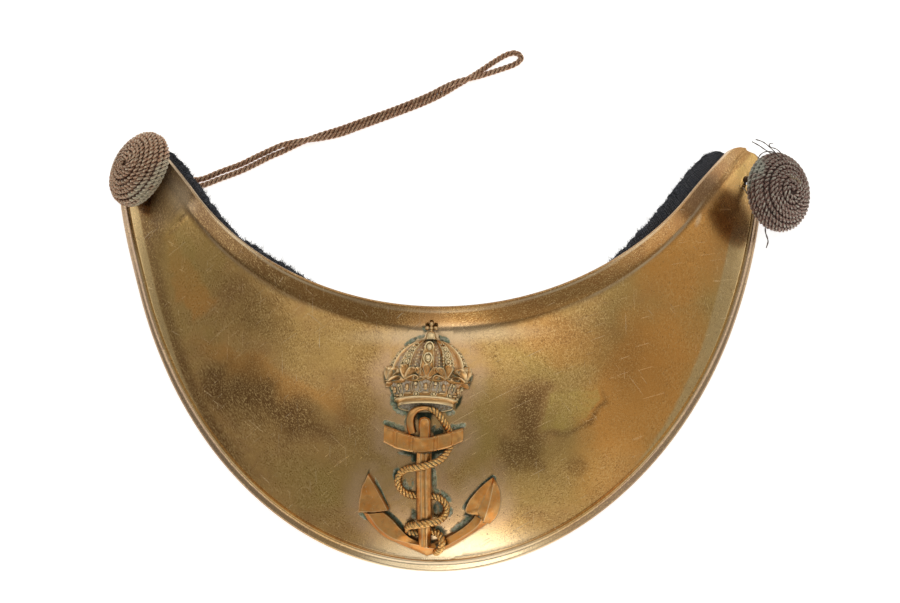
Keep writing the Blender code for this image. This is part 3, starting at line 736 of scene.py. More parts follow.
def make_plate(emblem_tree, button_trees):
    us = np.linspace(-1.0, 1.0, PLATE_COLUMNS)
    sections = np.stack([backed_section(*plate_section(u), PLATE_THICKNESS) for u in us], 1)
    rows = sections.shape[0]
    spread = np.broadcast_to(us, (rows, PLATE_COLUMNS))
    points = rib_points(spread, sections[..., 0], sections[..., 1])
    points = rib_points(spread, sections[..., 0], sections[..., 1] + dented(points))
    flat_x, flat_y = points[..., 0], points[..., 1]
    bm = bmesh.new()
    verts = [bm.verts.new(point) for point in points.reshape(-1, 3)]
    cut = np.zeros((rows, PLATE_COLUMNS), bool)
    for x, y in SHANK_SEATS:
        cut |= (flat_x - x) ** 2 + (flat_y - y) ** 2 < SHANK_HOLE**2
    for row in range(rows):
        after = (row + 1) % rows
        for column in range(PLATE_COLUMNS - 1):
            corners = ((row, column), (row, column + 1), (after, column + 1), (after, column))
            if not any(cut[corner] for corner in corners):
                bm.faces.new([verts[a * PLATE_COLUMNS + b] for a, b in corners])
    for column in (0, PLATE_COLUMNS - 1):
        bm.faces.new([verts[row * PLATE_COLUMNS + column] for row in range(rows)])
    bmesh.ops.delete(bm, geom=[vert for vert in bm.verts if not vert.link_faces], context="VERTS")
    for x, y in SHANK_SEATS:
        near = [edge for edge in bm.edges if edge.is_boundary
                and (edge.verts[0].co.xy - Vector((x, y))).length < 2.5 * SHANK_HOLE]
        for vert in {vert for edge in near for vert in edge.verts}:
            way = (vert.co.xy - Vector((x, y))).normalized() * SHANK_HOLE
            vert.co.x, vert.co.y = x + way.x, y + way.y
        bmesh.ops.bridge_loops(bm, edges=near)
    bmesh.ops.triangulate(bm, faces=[face for face in bm.faces if len(face.verts) > 4])
    off_bowl = lambda point: abs(point.z - on_bowl(*point[:2])[2])
    ground = [face for face in bm.faces
              if emblem_tree.find_nearest(face.calc_center_median(), FINE_GROUND)[0] is not None
              and off_bowl(face.calc_center_median()) < FRONT_SLACK]
    edges = list({edge for face in ground for edge in face.edges})
    done = bmesh.ops.subdivide_edges(bm, edges=edges, cuts=2, use_grid_fill=True)
    made = [part for part in done["geom_inner"] if isinstance(part, bmesh.types.BMVert)
            and off_bowl(part.co) < 2 * FRONT_SLACK]
    flat = on_bowl(*np.array([vert.co[:2] for vert in made]).T)
    for vert, point in zip(made, on_bowl(flat[:, 0], flat[:, 1], dented(flat))):
        vert.co = point
    bm.verts.index_update()
    shape = Shape()
    points = np.array([vert.co for vert in bm.verts])
    faces = [tuple(vert.index for vert in face.verts) for face in bm.faces]
    bm.free()
    marks = plate_marks(points, emblem_tree, button_trees)
    shape.add(points, faces, **marks)
    return piece("brass_crescent", shape, old_brass(), ["plate"], crease=38.0, marks=tuple(marks))


def edge_distances(points):
    """Distance from the neck edge and from the outer edge, in millimetres, of points on the plate."""
    us = np.linspace(-1, 1, 1201)
    neck, outer = neck_edge(us), outer_edge(us)
    chunks = np.array_split(points[:, :2], max(1, len(points) // 4000))
    found = [[np.sqrt(((chunk[:, None] - line) ** 2).sum(-1).min(1)) for line in (neck, outer)] for chunk in chunks]
    return [np.concatenate(part) for part in zip(*found)]


def patch(points, x, y, long, wide, turn=0.0, soft=0.5):
    """1 inside an oval patch of the plate and 0 outside, with a soft edge."""
    turn = math.radians(turn)
    along = (points[:, 0] - x) * math.cos(turn) + (points[:, 1] - y) * math.sin(turn)
    across = (points[:, 1] - y) * math.cos(turn) - (points[:, 0] - x) * math.sin(turn)
    return 1.0 - smooth_step(np.sqrt((along / long) ** 2 + (across / wide) ** 2), 1.0 - soft, 1.0 + soft)


def area(points, corners, soft=0.6):
    """1 inside a shape of straight sides on the plate and 0 outside, with an edge of a softness in millimetres."""
    corners = np.array(corners, float)
    inside, nearest = np.zeros(len(points), bool), np.full(len(points), np.inf)
    for (x, y), (next_x, next_y) in zip(corners, np.roll(corners, -1, 0)):
        way = np.array((next_x - x, next_y - y))
        share = np.clip(((points[:, 0] - x) * way[0] + (points[:, 1] - y) * way[1]) / (way @ way), 0, 1)
        nearest = np.minimum(nearest, np.hypot(points[:, 0] - x - share * way[0], points[:, 1] - y - share * way[1]))
        if next_y != y:
            crossing = (points[:, 1] > y) != (points[:, 1] > next_y)
            inside ^= crossing & (points[:, 0] < x + (points[:, 1] - y) * way[0] / way[1])
    return smooth_step(np.where(inside, nearest, -nearest), -soft, soft)


def shifted(points, size, amount, seed=0.0):
    """Points moved about by smooth noise, so that what is drawn with them has wandering edges."""
    return points[:, :2] + amount * np.stack([grain(points, size, seed + 20.0), grain(points, size, seed + 30.0)], 1)


GREEN_PLACES = (
    # right and up the emblem, long, wide, turn: where copper salts grow in the corners about it
    (-7.4, 8.4, 1.4, 2.6, 10), (-6.0, 5.0, 2.2, 2.6, 0), (-0.9, 5.9, 1.9, 1.6, 0), (2.2, 2.6, 1.4, 1.5, 0),
    (5.4, 5.9, 2.0, 1.2, -50), (7.0, 3.9, 2.4, 1.2, 15), (-7.6, 3.3, 3.0, 1.0, -20), (-4.5, -3.7, 2.6, 1.3, -15),
    (2.4, -3.0, 2.2, 1.2, 20), (-6.9, -7.0, 0.9, 2.4, 0), (1.4, -7.4, 1.0, 1.8, 0), (2.2, -9.6, 1.0, 2.4, 10),
    (4.6, -12.0, 2.4, 1.0, -50), (-4.0, -9.6, 1.4, 1.8, 0), (2.7, -15.0, 1.2, 1.6, 0), (-3.6, -16.6, 1.8, 1.6, 30),
    (6.0, -16.6, 1.2, 2.2, 20), (3.6, -19.8, 1.8, 1.2, 20), (7.9, -18.3, 3.2, 1.4, 40), (-7.0, -18.0, 3.6, 0.9, -44),
    (-4.4, -21.0, 1.8, 1.4, -30), (-9.9, -12.4, 4.6, 0.5, -66), (-13.8, -17.3, 1.6, 0.8, -20),
    (11.2, -11.6, 5.2, 0.8, 50),
    (-1.8, 24.4, 1.1, 1.8, -25), (-4.2, 22.4, 2.2, 0.6, 35), (3.2, 23.1, 1.7, 0.9, -35), (15.0, -8.0, 0.9, 0.7, 0),
    (5.9, -10.6, 2.0, 0.8, -60), (-8.2, 11.2, 0.5, 3.2, 12),
)
GRIME_PLACES = (
    (-0.9, 6.0, 2.1, 1.5, 0), (2.4, 2.4, 1.2, 1.1, 0), (-3.9, -3.6, 2.4, 1.0, -12), (2.6, -2.9, 2.0, 0.9, 20),
    (-7.2, -6.4, 0.7, 2.6, 10), (-6.6, -18.3, 3.4, 0.55, -46), (9.2, -16.6, 2.2, 0.7, 40), (2.7, -14.9, 0.9, 1.0, 0),
    (5.0, -12.2, 2.0, 0.4, -50), (-3.7, -15.8, 1.0, 1.5, 20), (-13.9, -11.4, 4.6, 0.32, 78), (2.6, 24.0, 1.2, 0.5, -30),
    (3.4, -20.4, 1.3, 0.8, 0), (12.0, -10.4, 3.8, 0.35, 48), (-6.8, 9.6, 0.4, 2.4, 10), (6.9, 8.8, 0.4, 1.6, -25),
)


WARM_PATCHES = (
    # amount, x, y, long, wide, turn, softness of its edge
    (1.0, 47, 3, 20, 11, 62, 0.35), (0.95, 57, 33, 16, 8, 58), (0.5, 30, 12, 12, 5, -20),
    (0.7, -35, 3, 18, 2.6, -22), (0.6, 40, -14, 12, 8, 40),
)
DIM_PATCHES = (
    (0.75, -66, 40, 2.6, 7, 8), (0.35, -14, -2, 7, 16, 0), (0.35, 36, 11, 16, 7, -20, 0.8),
    (0.5, 31, -15.0, 3.4, 2.4, 0, 0.4), (0.5, -42, 20, 12, 4.5, -38),
)
OLIVE_PATCHES = (
    (0.6, 12, -5, 3.5, 9, 0), (0.5, -58, 30, 3, 8, 20), (0.45, -30, 12, 16, 5, -20), (0.4, 20, 8, 9, 4, -15),
    (0.6, -30, -19, 9, 5, -30), (0.5, -20, 12, 9, 4, -20),
)
# painted reflection: a warm patch on the left horn, olive towards its top
WARM_WEDGE_REFLECTION = ((-64.4, 37.4), (-62.3, 37.6), (-50.8, 21.5), (-55.5, 16.8), (-60.8, 23.9))
# painted reflection: a crisp olive spot right of the emblem
OLIVE_REFLECTION_SPOT = ((22.9, -8.3), (25.8, 0.7), (37.3, 1.8), (38.2, -1.3), (34.6, -6.3), (28.8, -8.3))
# painted dark reflection of the room, right of the emblem
DARK_LEAF_REFLECTION = ((17.2, -1.8), (21.3, 2.4), (25.4, 2.2), (23.4, -8.0), (24.7, -16.9), (14.8, -16.9), (15.2, -10.2),
             (18.0, -9.1))
# painted dark reflection of the room: a band across the left half
DARK_SLOPE_REFLECTION = ((-56, 5.5), (-44, 6.5), (-31, 0.0), (-22, -10), (-37, -8.0), (-51, -3.6))
DARK_SCRATCH = ((-63.6, 37.3), (-63.0, 36.8), (-58.4, 41.4), (-59.0, 42.0))


def strongest(points, patches):
    """The strongest at each point of some patches, each an amount and then what patch takes."""
    return np.maximum.reduce([amount * patch(points, *spot) for amount, *spot in patches])


def plate_marks(points, emblem_tree, button_trees):
    """Where the plate is worn by hands, warm, dim or olive, and where soiling and copper salts gather; also where
    highlights, reflections of the room and shade are painted on it.
    """
    from_neck, from_outer = edge_distances(points)
    near = np.array([emblem_tree.find_nearest(Vector(point))[3] for point in points.tolist()])
    side = points[:, 0]
    handled = 0.7 * (1 - smooth_step(from_neck, 0.05, 0.34)) + 0.15 * (1 - smooth_step(from_outer, 0.5, 3.2))
    # painted highlights: a broad pale band on the lower rim and a narrow one just below the crease at the middle
    handled = handled + 0.95 * patch(points, 4, -38.5, 24, 6.5, 4, 0.6) + 0.5 * patch(points, 2, 13.6, 17, 1.9, 2, 0.7)
    handled = handled + 0.3 * patch(points, -60.5, 46, 4.6, 2.6, 130, 0.7)
    wandering, loose = shifted(points, 9.0, 3.0), shifted(points, 3.0, 1.0, 4.0)
    # painted reflection of the pale table: a pale band along each horn's outer edge, stopping short of the right tip
    strip_width = np.where(side > 0, np.interp(points[:, 1], (-16, 0, 8, 20, 30), (2.6, 4.3, 4.9, 5.9, 6.3)),
                           np.interp(points[:, 1], (-6, 5, 14, 32), (2.4, 3.2, 3.9, 4.4)))
    strip = (1 - smooth_step(from_outer - strip_width, -0.25, 0.25)) * smooth_step(np.abs(side), 36.0, 48.0)
    strip = strip * np.where(side > 0, 1 - smooth_step(points[:, 1], 37.0, 41.0), 1.0)
    # painted dark reflection: a band just inside the left horn's pale band
    beside = (1 - smooth_step(from_outer - strip_width, 1.2, 3.6)) * (1 - strip)
    beside = beside * (side < 0) * smooth_step(-side, 36.0, 50.0)
    buttons = np.min([[tree.find_nearest(Vector(point))[3] for point in points.tolist()] for tree in button_trees], 0)
    cos, sin = math.cos(EMBLEM_TURN), math.sin(EMBLEM_TURN)
    x, y = points[:, 0] - EMBLEM_PLACE[0], points[:, 1] - EMBLEM_PLACE[1]
    flat = np.stack([x * cos + y * sin, y * cos - x * sin], 1)
    green = np.maximum.reduce([patch(flat, *spot, soft=0.45) for spot in GREEN_PLACES])
    grimy = np.maximum.reduce([patch(flat, *spot, soft=0.45) for spot in GRIME_PLACES])
    close = 1 - smooth_step(near, 0.6, 2.1)
    wedge_reflection = area(loose, WARM_WEDGE_REFLECTION, 1.0)
    crease = np.interp(np.abs(side), (24, 34, 46, 56, 64), (4.5, 4.5, 4.3, 3.8, 3.3))
    # painted highlight: a pale line along the crease on each horn
    line = hump(from_neck - crease - 0.12 * grain(points, 5.0, 7.0), 0.26)
    line = line * np.interp(side, (-58, -50, -30, -24, 26, 34, 60, 62), (0, 0.42, 0.42, 0, 0, 0.7, 0.7, 0))
    handled = handled + line + 0.45 * patch(points, 60, 40.6, 1.6, 0.5, 70)
    near_spot = shifted(points, 8.0, 0.8, 2.0)
    # painted reflection: the olive spot, with a dark rim set off below and to its right
    reflection_spot = area(near_spot, OLIVE_REFLECTION_SPOT, 0.7)
    shadow = area(near_spot, np.array(OLIVE_REFLECTION_SPOT) + (0.7, -0.7), 0.6)
    reflection_spot_rim = np.clip(shadow - reflection_spot, 0, 1)
    # painted shade on the collar, and an olive tone in its middle
    collar = (1 - smooth_step(from_neck, 3.2, 4.2)) * smooth_step(from_neck, 0.4, 1.0)
    collar_middle = (1 - smooth_step(from_neck, 3.2, 4.6)) * (1 - smooth_step(np.abs(side), 30, 52))
    pitted = 1.25 * grimy * (1 - smooth_step(near, 0.5, 1.1)) + 0.8 * green * (1 - smooth_step(near, 0.1, 0.5))
    # dull brown patches by the buttons; the one by the left button is also painted shade under it
    matt = patch(points, -62.0, 47.0, 8.5, 4.0, 66, 0.35) + 0.55 * patch(points, 61.0, 46.5, 5.0, 3.0, 50, 0.5)
    # painted shade over the collar, strongest on the left
    fold = 1 - smooth_step(from_neck, COLLAR_WIDTH - 0.4, COLLAR_WIDTH + 0.5)
    return {
        "handled": np.clip(handled, 0, 1),
        "halo": (1 - smooth_step(near, 1.2, 5.5)),
        "growth": green * close,
        "pit": np.clip(pitted, 0, 1),
        # soiling in the corners about the emblem, and painted contact shade along its foot and about the buttons
        "grime": np.clip(np.maximum.reduce([0.7 * grimy * close, 0.6 * (1 - smooth_step(near, 0.05, 0.5)),
                                            0.15 * (1 - smooth_step(buttons, 0.2, 1.4))]), 0, 1),
        # warm: orange patches, and the painted reflection on the left horn
        "warm": np.maximum(strongest(wandering, WARM_PATCHES),
                           0.75 * wedge_reflection * np.interp(points[:, 1], (21, 33), (1.0, 0.3))),
        # dark: random dim patches, painted dark reflections of the room and painted shade on the collar
        "dim": np.maximum.reduce([
            strongest(wandering, DIM_PATCHES), 0.16 * collar, 0.8 * beside, 0.9 * reflection_spot_rim,
            area(wandering, DARK_SLOPE_REFLECTION, 4.0), 0.85 * area(loose, DARK_LEAF_REFLECTION, 2.4),
            0.7 * area(loose, DARK_SCRATCH, 0.25)]) * (1 - 0.9 * reflection_spot),
        # olive: random patches, the painted reflection spot, the collar's middle and the painted warm patch on the left
        # horn
        "olive": np.maximum.reduce([
            strongest(wandering, OLIVE_PATCHES), reflection_spot, 0.65 * collar_middle,
            0.7 * wedge_reflection * smooth_step(points[:, 1], 20, 34)]),
        "strip": strip,
        "matt": np.clip(matt, 0, 1),
        "bead": (1 - smooth_step(from_outer, 1.5, 1.9)) * smooth_step(np.abs(side), 14.0, 44.0),
        "fold": fold * np.interp(side, (-42, -22, 12, 50), (1.0, 0.93, 0.93, 0.88)),
    }


# ---------------------------------------------------------------- lining

LINING_DEPTH = 1.2  # of its front below the plate's front
LINING_THICKNESS = 2.0
LINING_INSET = 6.5
LINING_SPAN = 0.978
LINING_COLUMNS = 820
LINING_FRONT = 26
LINING_BACK = 34
RIB_PITCH = 0.74
WOOL_ENDS = 1500
OVERHANG = (
    # place, how far the cloth stands out past the neck edge
    (-1.00, 1.0), (-0.93, 1.4), (-0.86, 1.0), (-0.78, 0.8), (-0.70, 0.6), (-0.655, 0.1), (-0.62, 0.8),
    (-0.54, 1.3), (-0.46, 1.35), (-0.40, 1.1), (-0.345, -0.8), (-0.30, -2.0), (0.30, -2.6), (0.44, -1.4), (0.50, -0.3),
    (0.56, 1.0), (0.64, 2.0), (0.74, 2.6), (0.86, 3.0), (0.95, 3.1), (0.985, 2.8), (1.00, 2.0),
)


def overhang(u):
    places, reach = np.array(OVERHANG).T
    return np.interp(u, places, reach)


def make_lining():
    us = np.linspace(-LINING_SPAN, LINING_SPAN, LINING_COLUMNS)
    reach = overhang(us / LINING_SPAN)
    kernel = np.hanning(17) / np.hanning(17).sum()
    reach = np.convolve(np.pad(reach, 8, mode="edge"), kernel, mode="valid")
    neck = neck_edge(us)
    run = lengths_along(neck)
    rng = np.random.default_rng(11)
    steps = np.arange(0, run[-1] + 1, 0.37)
    ragged = np.interp(run, steps, rng.normal(0, 0.2, len(steps)))
    start = -reach - ragged - 0.13 * np.cos(TURN * run / RIB_PITCH)
    end = rib_length(us) - LINING_INSET * (1.0 - 0.6 * np.abs(us) ** 6)
    across = np.concatenate([np.linspace(0, 1, LINING_FRONT), np.full(3, 1.0),
                             np.linspace(1, 0, LINING_BACK), np.full(3, 0.0)])
    edge_bulge = np.array([0.18, 0.24, 0.18])
    bulge = np.concatenate([np.zeros(LINING_FRONT), edge_bulge, np.zeros(LINING_BACK), -edge_bulge])
    depth = np.concatenate([np.zeros(LINING_FRONT), (0.2, 0.5, 0.8), np.ones(LINING_BACK), (0.8, 0.5, 0.2)])
    distance = start + (end - start) * across[:, None] ** 1.35 + bulge[:, None]
    from_edge = distance - start
    height = -LINING_DEPTH - LINING_THICKNESS * np.broadcast_to(depth[:, None], distance.shape)
    out = np.where(depth < 0.5, 1.0, -1.0)[:, None]
    ribs = 0.10 * np.cos(TURN * (run[None] + 0.35 * from_edge) / RIB_PITCH) * np.cos(TURN * from_edge / 1.5)
    shown = np.where(depth[:, None] < 0.5, (distance < 1.0), 1.0)
    hem = 0.16 * hump(from_edge - 0.6, 0.5)
    rows_u = np.broadcast_to(us, distance.shape)
    flat = rib_points(rows_u, distance, height)
    sag = 0.22 * grain(flat, 9.0, 5.0, 1)
    height = height + out * (ribs * shown + hem) + np.where(distance < 0.0, sag, 0.0)
    height = height - 0.6 * smooth_step(-distance, 0.0, 4.5) * (distance < 0)
    points = rib_points(rows_u, distance, height)
    shape = Shape()
    shape.grid(points, closed_rows=True, capped="columns", run=run, across=from_edge)
    lining = piece("cloth_lining", shape, black_wool(), ["lining"], marks=("run", "across"))
    fuzz = make_lining_fuzz(start, points)


def make_lining_fuzz(start, points):
    """Short wool ends that stand out of the lining's free edge."""
    rng = np.random.default_rng(5)
    shape = Shape()
    seen = [column for column in range(4, LINING_COLUMNS - 4) if start[column] < -0.2]
    for column in rng.choice(seen, WOOL_ENDS):
        root = points[rng.choice([0, -1, -2, -3, 1, 2]), column]
        outward = unit(points[0, column] - points[8, column])
        along = unit(points[0, column + 1] - points[0, column])
        lean = outward + along * rng.normal(0, 0.55) + np.array((0, 0, 1.0)) * rng.normal(0.1, 0.5)
        curl = along * rng.normal(0, 0.5) + np.array((0, 0, 1.0)) * rng.normal(0, 0.4)
        long = rng.uniform(0.25, 0.95) * (2.0 if rng.random() < 0.05 else 1.0)
        share = np.linspace(0, 1, 4)[:, None]
        hair = root + unit(lean) * long * share + curl * long * 0.6 * share**2
        add_tube(shape, hair, 0.055 * (1.0 - 0.7 * share[:, 0]), sides=3)
    return piece("lining_wool_ends", shape, black_wool())


# ---------------------------------------------------------------- emblem

EMBLEM_PLACE = (-1.7, -10.4)
EMBLEM_TURN = math.radians(-1.2)
EMBLEM_FOOT = 0.05


def on_plate(points):
    """Bend flat emblem points to the bowl: their height becomes distance from the plate."""
    cos, sin = math.cos(EMBLEM_TURN), math.sin(EMBLEM_TURN)
    x = points[:, 0] * cos - points[:, 1] * sin + EMBLEM_PLACE[0]
    y = points[:, 0] * sin + points[:, 1] * cos + EMBLEM_PLACE[1]
    return on_bowl(x, y, points[:, 2])


CROWN_LEAN = 0.30  # the crown's foot comes forward, so that its band curves and its mouth shows
CROWN_SKEW = 0.057
CROWN_RELIEF = 0.50
CROWN_FOLDS = 5.45  # in the crown's cloth, for each radian
CROWN_PROFILE = (
    # half width, height up the emblem
    (0.05, 23.0), (1.3, 22.75), (3.0, 22.2), (4.7, 21.3), (6.1, 20.2), (7.1, 19.0), (7.9, 17.6), (8.4, 16.2),
    (8.55, 15.0), (8.4, 13.9), (8.1, 12.9), (7.75, 11.9), (7.35, 10.9), (7.0, 10.1), (6.75, 9.4), (6.65, 9.05),
    (6.95, 8.9), (7.0, 8.65), (6.7, 8.45), (6.4, 8.25), (6.45, 8.05), (6.35, 7.75), (6.15, 7.55),
)
PALMETTE_FOOT = 12.35
PALMETTE_LEAVES = (
    # turn from upright in degrees, length, half width
    (0, 3.6, 1.08), (-40, 3.35, 1.05), (40, 3.35, 1.05), (-84, 2.6, 0.9), (84, 2.6, 0.9),
)
PEARL_FRAMES = (75.5, 107.5, 141.5, 41.5, 173.0, 8.0)
ARCHES = (
    # angle from the crown's right side in degrees, half width at the foot, heights of its stones
    (91.0, 1.55, (20.4, 17.5)), (124.0, 1.25, (19.9, 18.4, 16.8)), (60.0, 1.25, (19.9, 18.4, 16.8)),
    (159.0, 1.1, (18.9, 17.2, 15.6)), (23.0, 1.1, (18.9, 17.2, 15.6)),
)


def crown_profile(share):
    """Half width and height at a share of the way down the crown's side."""
    table = np.array(CROWN_PROFILE)
    gone = lengths_along(table)
    wanted = np.asarray(share) * gone[-1]
    return np.interp(wanted, gone, table[:, 0]), np.interp(wanted, gone, table[:, 1])


def crown_point(angle, half_width, height, out=0.0):
    """Place on the crown's side at an angle about its upright, stood off by a height."""
    angle, height = np.asarray(angle, float), np.asarray(height, float)
    x = (half_width + out) * np.cos(angle) - 0.55 + CROWN_SKEW * (height - 7.5)
    z = (half_width * CROWN_RELIEF + out) * np.sin(angle)
    lean = CROWN_LEAN * z * smooth_step(23.0 - height, 0.0, 14.0)
    return np.stack([x, height + lean, z], -1)


def crown_axes(angle):
    """Sideways, upward and outward directions on the crown's side."""
    outward = unit(np.array([math.cos(angle) * CROWN_RELIEF, 0.10, math.sin(angle)]))
    side = unit(np.cross((0.0, 1.0, 0.0), outward))
    return np.array([side, np.cross(outward, side), outward])


def width_at(height):
    table = np.array(CROWN_PROFILE)[::-1]
    return np.interp(height, table[:, 1], table[:, 0])


def crown_shape():
    shape = Shape()
    share = np.linspace(0, 1, 170)[:, None]
    angle = np.linspace(-0.04 * math.pi, 1.04 * math.pi, 260)[None]
    half_width, height = crown_profile(share)
    cloth = smooth_step(height, 11.6, 12.6) * (1 - smooth_step(height, 21.9, 22.8))
    local = np.sqrt((half_width * np.sin(angle)) ** 2 + (half_width * CROWN_RELIEF * np.cos(angle)) ** 2)
    out = np.zeros(np.broadcast_shapes(local.shape, angle.shape))
    on_arch, groove, rims = np.zeros_like(out), np.zeros_like(out), np.zeros_like(out)
    for degrees, foot_width, _ in ARCHES:
        wide = foot_width * (0.35 + 0.65 * np.sqrt(np.clip((23 - height) / 7.0, 0, 1)))
        apart = np.abs(angle - math.radians(degrees)) * np.maximum(local, 0.3)
        inside = 1 - smooth_step(apart, wide - 0.12, wide + 0.06)
        rim = hump(apart - wide + 0.26, 0.16)
        out = np.maximum(out, inside * 0.22 + rim * 0.36)
        groove = np.maximum(groove, hump(apart - wide - 0.22, 0.16))
        on_arch, rims = np.maximum(on_arch, inside), np.maximum(rims, rim)
    folds = 0.34 * np.abs(np.sin(angle * CROWN_FOLDS - 0.1)) ** 0.7 + 0.05 * np.cos(angle * 60.0)
    out = (out + (1 - on_arch) * (folds - 0.14 - 0.22 * groove)) * cloth
    surface = crown_point(angle, half_width, height + 0 * angle, out)
    between = smooth_step(height, 9.3, 9.8) * (1 - smooth_step(height, 12.6, 14.4))
    between = between * (0.55 + 0.45 * np.abs(np.cos(angle * CROWN_FOLDS)))
    salt = np.clip(0.40 * cloth * (1 - on_arch) + 0.22 * cloth + between, 0, 1)
    salt = salt * np.interp(angle, (0.2, 1.2), (0.45, 1.0))
    band_edges = hump(height - 8.7, 0.22) + hump(height - 7.65, 0.2)
    shape.grid(surface, salt=salt, proud=np.clip(rims * cloth + band_edges, 0, 1))
    add_mouth(shape)
    add_arch_stones(shape)
    for degrees, _, _ in ARCHES:
        add_palmette(shape, math.radians(degrees))
    for degrees in PEARL_FRAMES:
        add_pearl_frame(shape, math.radians(degrees))
    ring = crown_point(np.linspace(0.0, math.pi, 70), width_at(8.7), np.full(70, 8.72), 0.05)
    add_tube(shape, ring, 0.2, sides=8, proud=1.0)
    add_orb_and_cross(shape)
    return shape


def add_mouth(shape):
    """The open foot of the crown: a thin lip all round and a hollow behind it."""
    angle = np.linspace(0, math.pi, 64)
    front = crown_point(angle, 5.95, np.full(64, 7.7))
    back = np.stack([6.0 * np.cos(angle) - 0.55, 7.45 - 0.95 * np.sin(angle), 0.30 + 0.2 * np.sin(angle)], -1)
    share = np.linspace(0, 1, 12)[:, None, None]
    hollow = np.sin(share * math.pi) * np.sin(angle)[None, :, None] * np.array([0.0, 1.1, -0.6])
    shape.grid(front * (1 - share) + back * share + hollow, salt=0.85)
    lip = crown_point(angle, 6.18, np.full(64, 7.6))
    add_tube(shape, lip, 0.2, sides=8, proud=1.0)
    add_tube(shape, back, 0.2, sides=8, proud=0.9)


def add_stone(shape, angle, height, size):
    """Oval stone in a raised ring."""
    axes = crown_axes(angle)
    side, up, outward = axes
    place = crown_point(angle, width_at(height), height, 0.34)
    add_bead(shape, place, (*size, 0.42), axes, sides=14, proud=0.9)
    turn = np.linspace(0, TURN, 26, endpoint=False)
    round_it = size[0] * np.cos(turn)[:, None] * side + size[1] * np.sin(turn)[:, None] * up
    ring = place + 1.42 * round_it + 0.02 * outward
    add_tube(shape, ring, 0.17, sides=7, closed=True, proud=1.0)


def add_arch_stones(shape):
    for number, (degrees, _, heights) in enumerate(ARCHES):
        for height in heights:
            if number == 0:
                add_stone(shape, math.radians(degrees), height, (0.62, 0.86))
            else:
                thin = 0.6 + 0.4 * math.sin(math.radians(degrees))
                add_stone(shape, math.radians(degrees), height, (0.42 * thin, 0.42))
        apart = (0.15 + 0.14 * (number == 0)) * (0.55 + 0.45 * math.sin(math.radians(degrees)))
        for height in np.arange(14.9, 21.6, 0.8):
            for side in (-1, 1):
                angle = math.radians(degrees) + side * apart * min(1.0, (23.4 - height) / 5.0)
                place = crown_point(angle, width_at(height), height, 0.5)
                add_bead(shape, place, (0.2, 0.24, 0.2), crown_axes(angle), rings=5, sides=8, proud=1.0)


def add_leaf(shape, angle, foot, turn, long, wide):
    """Spoon-shaped leaf with a raised rim and a hollow middle, laid over the crown from a foot."""
    round_it = np.linspace(0, TURN, 20, endpoint=False)
    along = 0.18 + long * (0.5 + 0.5 * np.cos(round_it))
    across = wide * np.sin(round_it) * (0.62 + 0.38 * np.cos(round_it))
    centre = 0.18 + long * 0.62
    rings = []
    for size, rise in ((1.12, -0.1), (1.06, 0.42), (0.93, 0.72), (0.76, 0.62), (0.58, 0.40), (0.3, 0.34), (0.02, 0.36)):
        reach, aside = centre + (along - centre) * size, across * size
        height = foot + reach * math.cos(turn) - aside * math.sin(turn)
        width = width_at(height)
        local = np.maximum(np.hypot(width * math.sin(angle), width * CROWN_RELIEF * math.cos(angle)), 1.5)
        rise *= 1.0 + 1.3 * math.cos(angle) ** 2
        round_crown = (reach * math.sin(turn) + aside * math.cos(turn)) / local
        rings.append(crown_point(angle + round_crown, width, height, rise))
    shape.grid(np.stack(rings), closed_columns=True, proud=np.array((0, 0.3, 0.8, 0.4, 0.0, 0.0, 0.1))[:, None])


def add_palmette(shape, angle):
    """Five spoon-shaped leaves fanned over an oval stone, standing on the crown's band."""
    axes = crown_axes(angle)
    for turn, long, wide in PALMETTE_LEAVES:
        add_leaf(shape, angle, PALMETTE_FOOT, math.radians(turn), long, wide)
    stone = crown_point(angle, width_at(10.7), 10.85, 0.2)
    add_bead(shape, stone, (0.48, 0.82, 0.5), axes, rings=9, sides=16, proud=0.4)
    add_bead(shape, crown_point(angle, width_at(9.6), 9.62, 0.1), (0.85, 0.24, 0.3), axes, proud=0.6)


def add_pearl_frame(shape, angle):
    """Small pointed arch with a pearl under it, and a ringed stud at its foot."""
    axes = crown_axes(angle)
    thin = 0.55 + 0.45 * math.sin(angle)
    for way in (-1, 1):
        arc = [crown_point(angle + way * thin * turn, width_at(height), height, 0.22)
               for turn, height in ((0.02, 12.7), (0.075, 12.1), (0.12, 11.3), (0.135, 10.5), (0.11, 9.8))]
        add_tube(shape, smooth_route(arc, 0.2), 0.14, sides=6, proud=0.9)
    add_bead(shape, crown_point(angle, width_at(11.4), 11.5, 0.25), (0.40 * thin, 0.40, 0.36), axes, proud=1.0)
    drop = crown_point(angle, width_at(10.7), 10.75, 0.18)
    add_bead(shape, drop, (0.26 * thin, 0.42, 0.26), axes, rings=5, sides=8, proud=0.6)
    add_bead(shape, crown_point(angle, width_at(9.3), 9.32, 0.2), (0.36 * thin, 0.34, 0.34), axes, proud=1.0)
    turn = np.linspace(0, TURN, 20, endpoint=False)
    round_it = thin * np.cos(turn)[:, None] * axes[0] + 0.8 * np.sin(turn)[:, None] * axes[1]
    ring = crown_point(angle, width_at(9.3), 9.32, 0.12) + 0.6 * round_it
    add_tube(shape, ring, 0.13, sides=6, closed=True, proud=0.8)


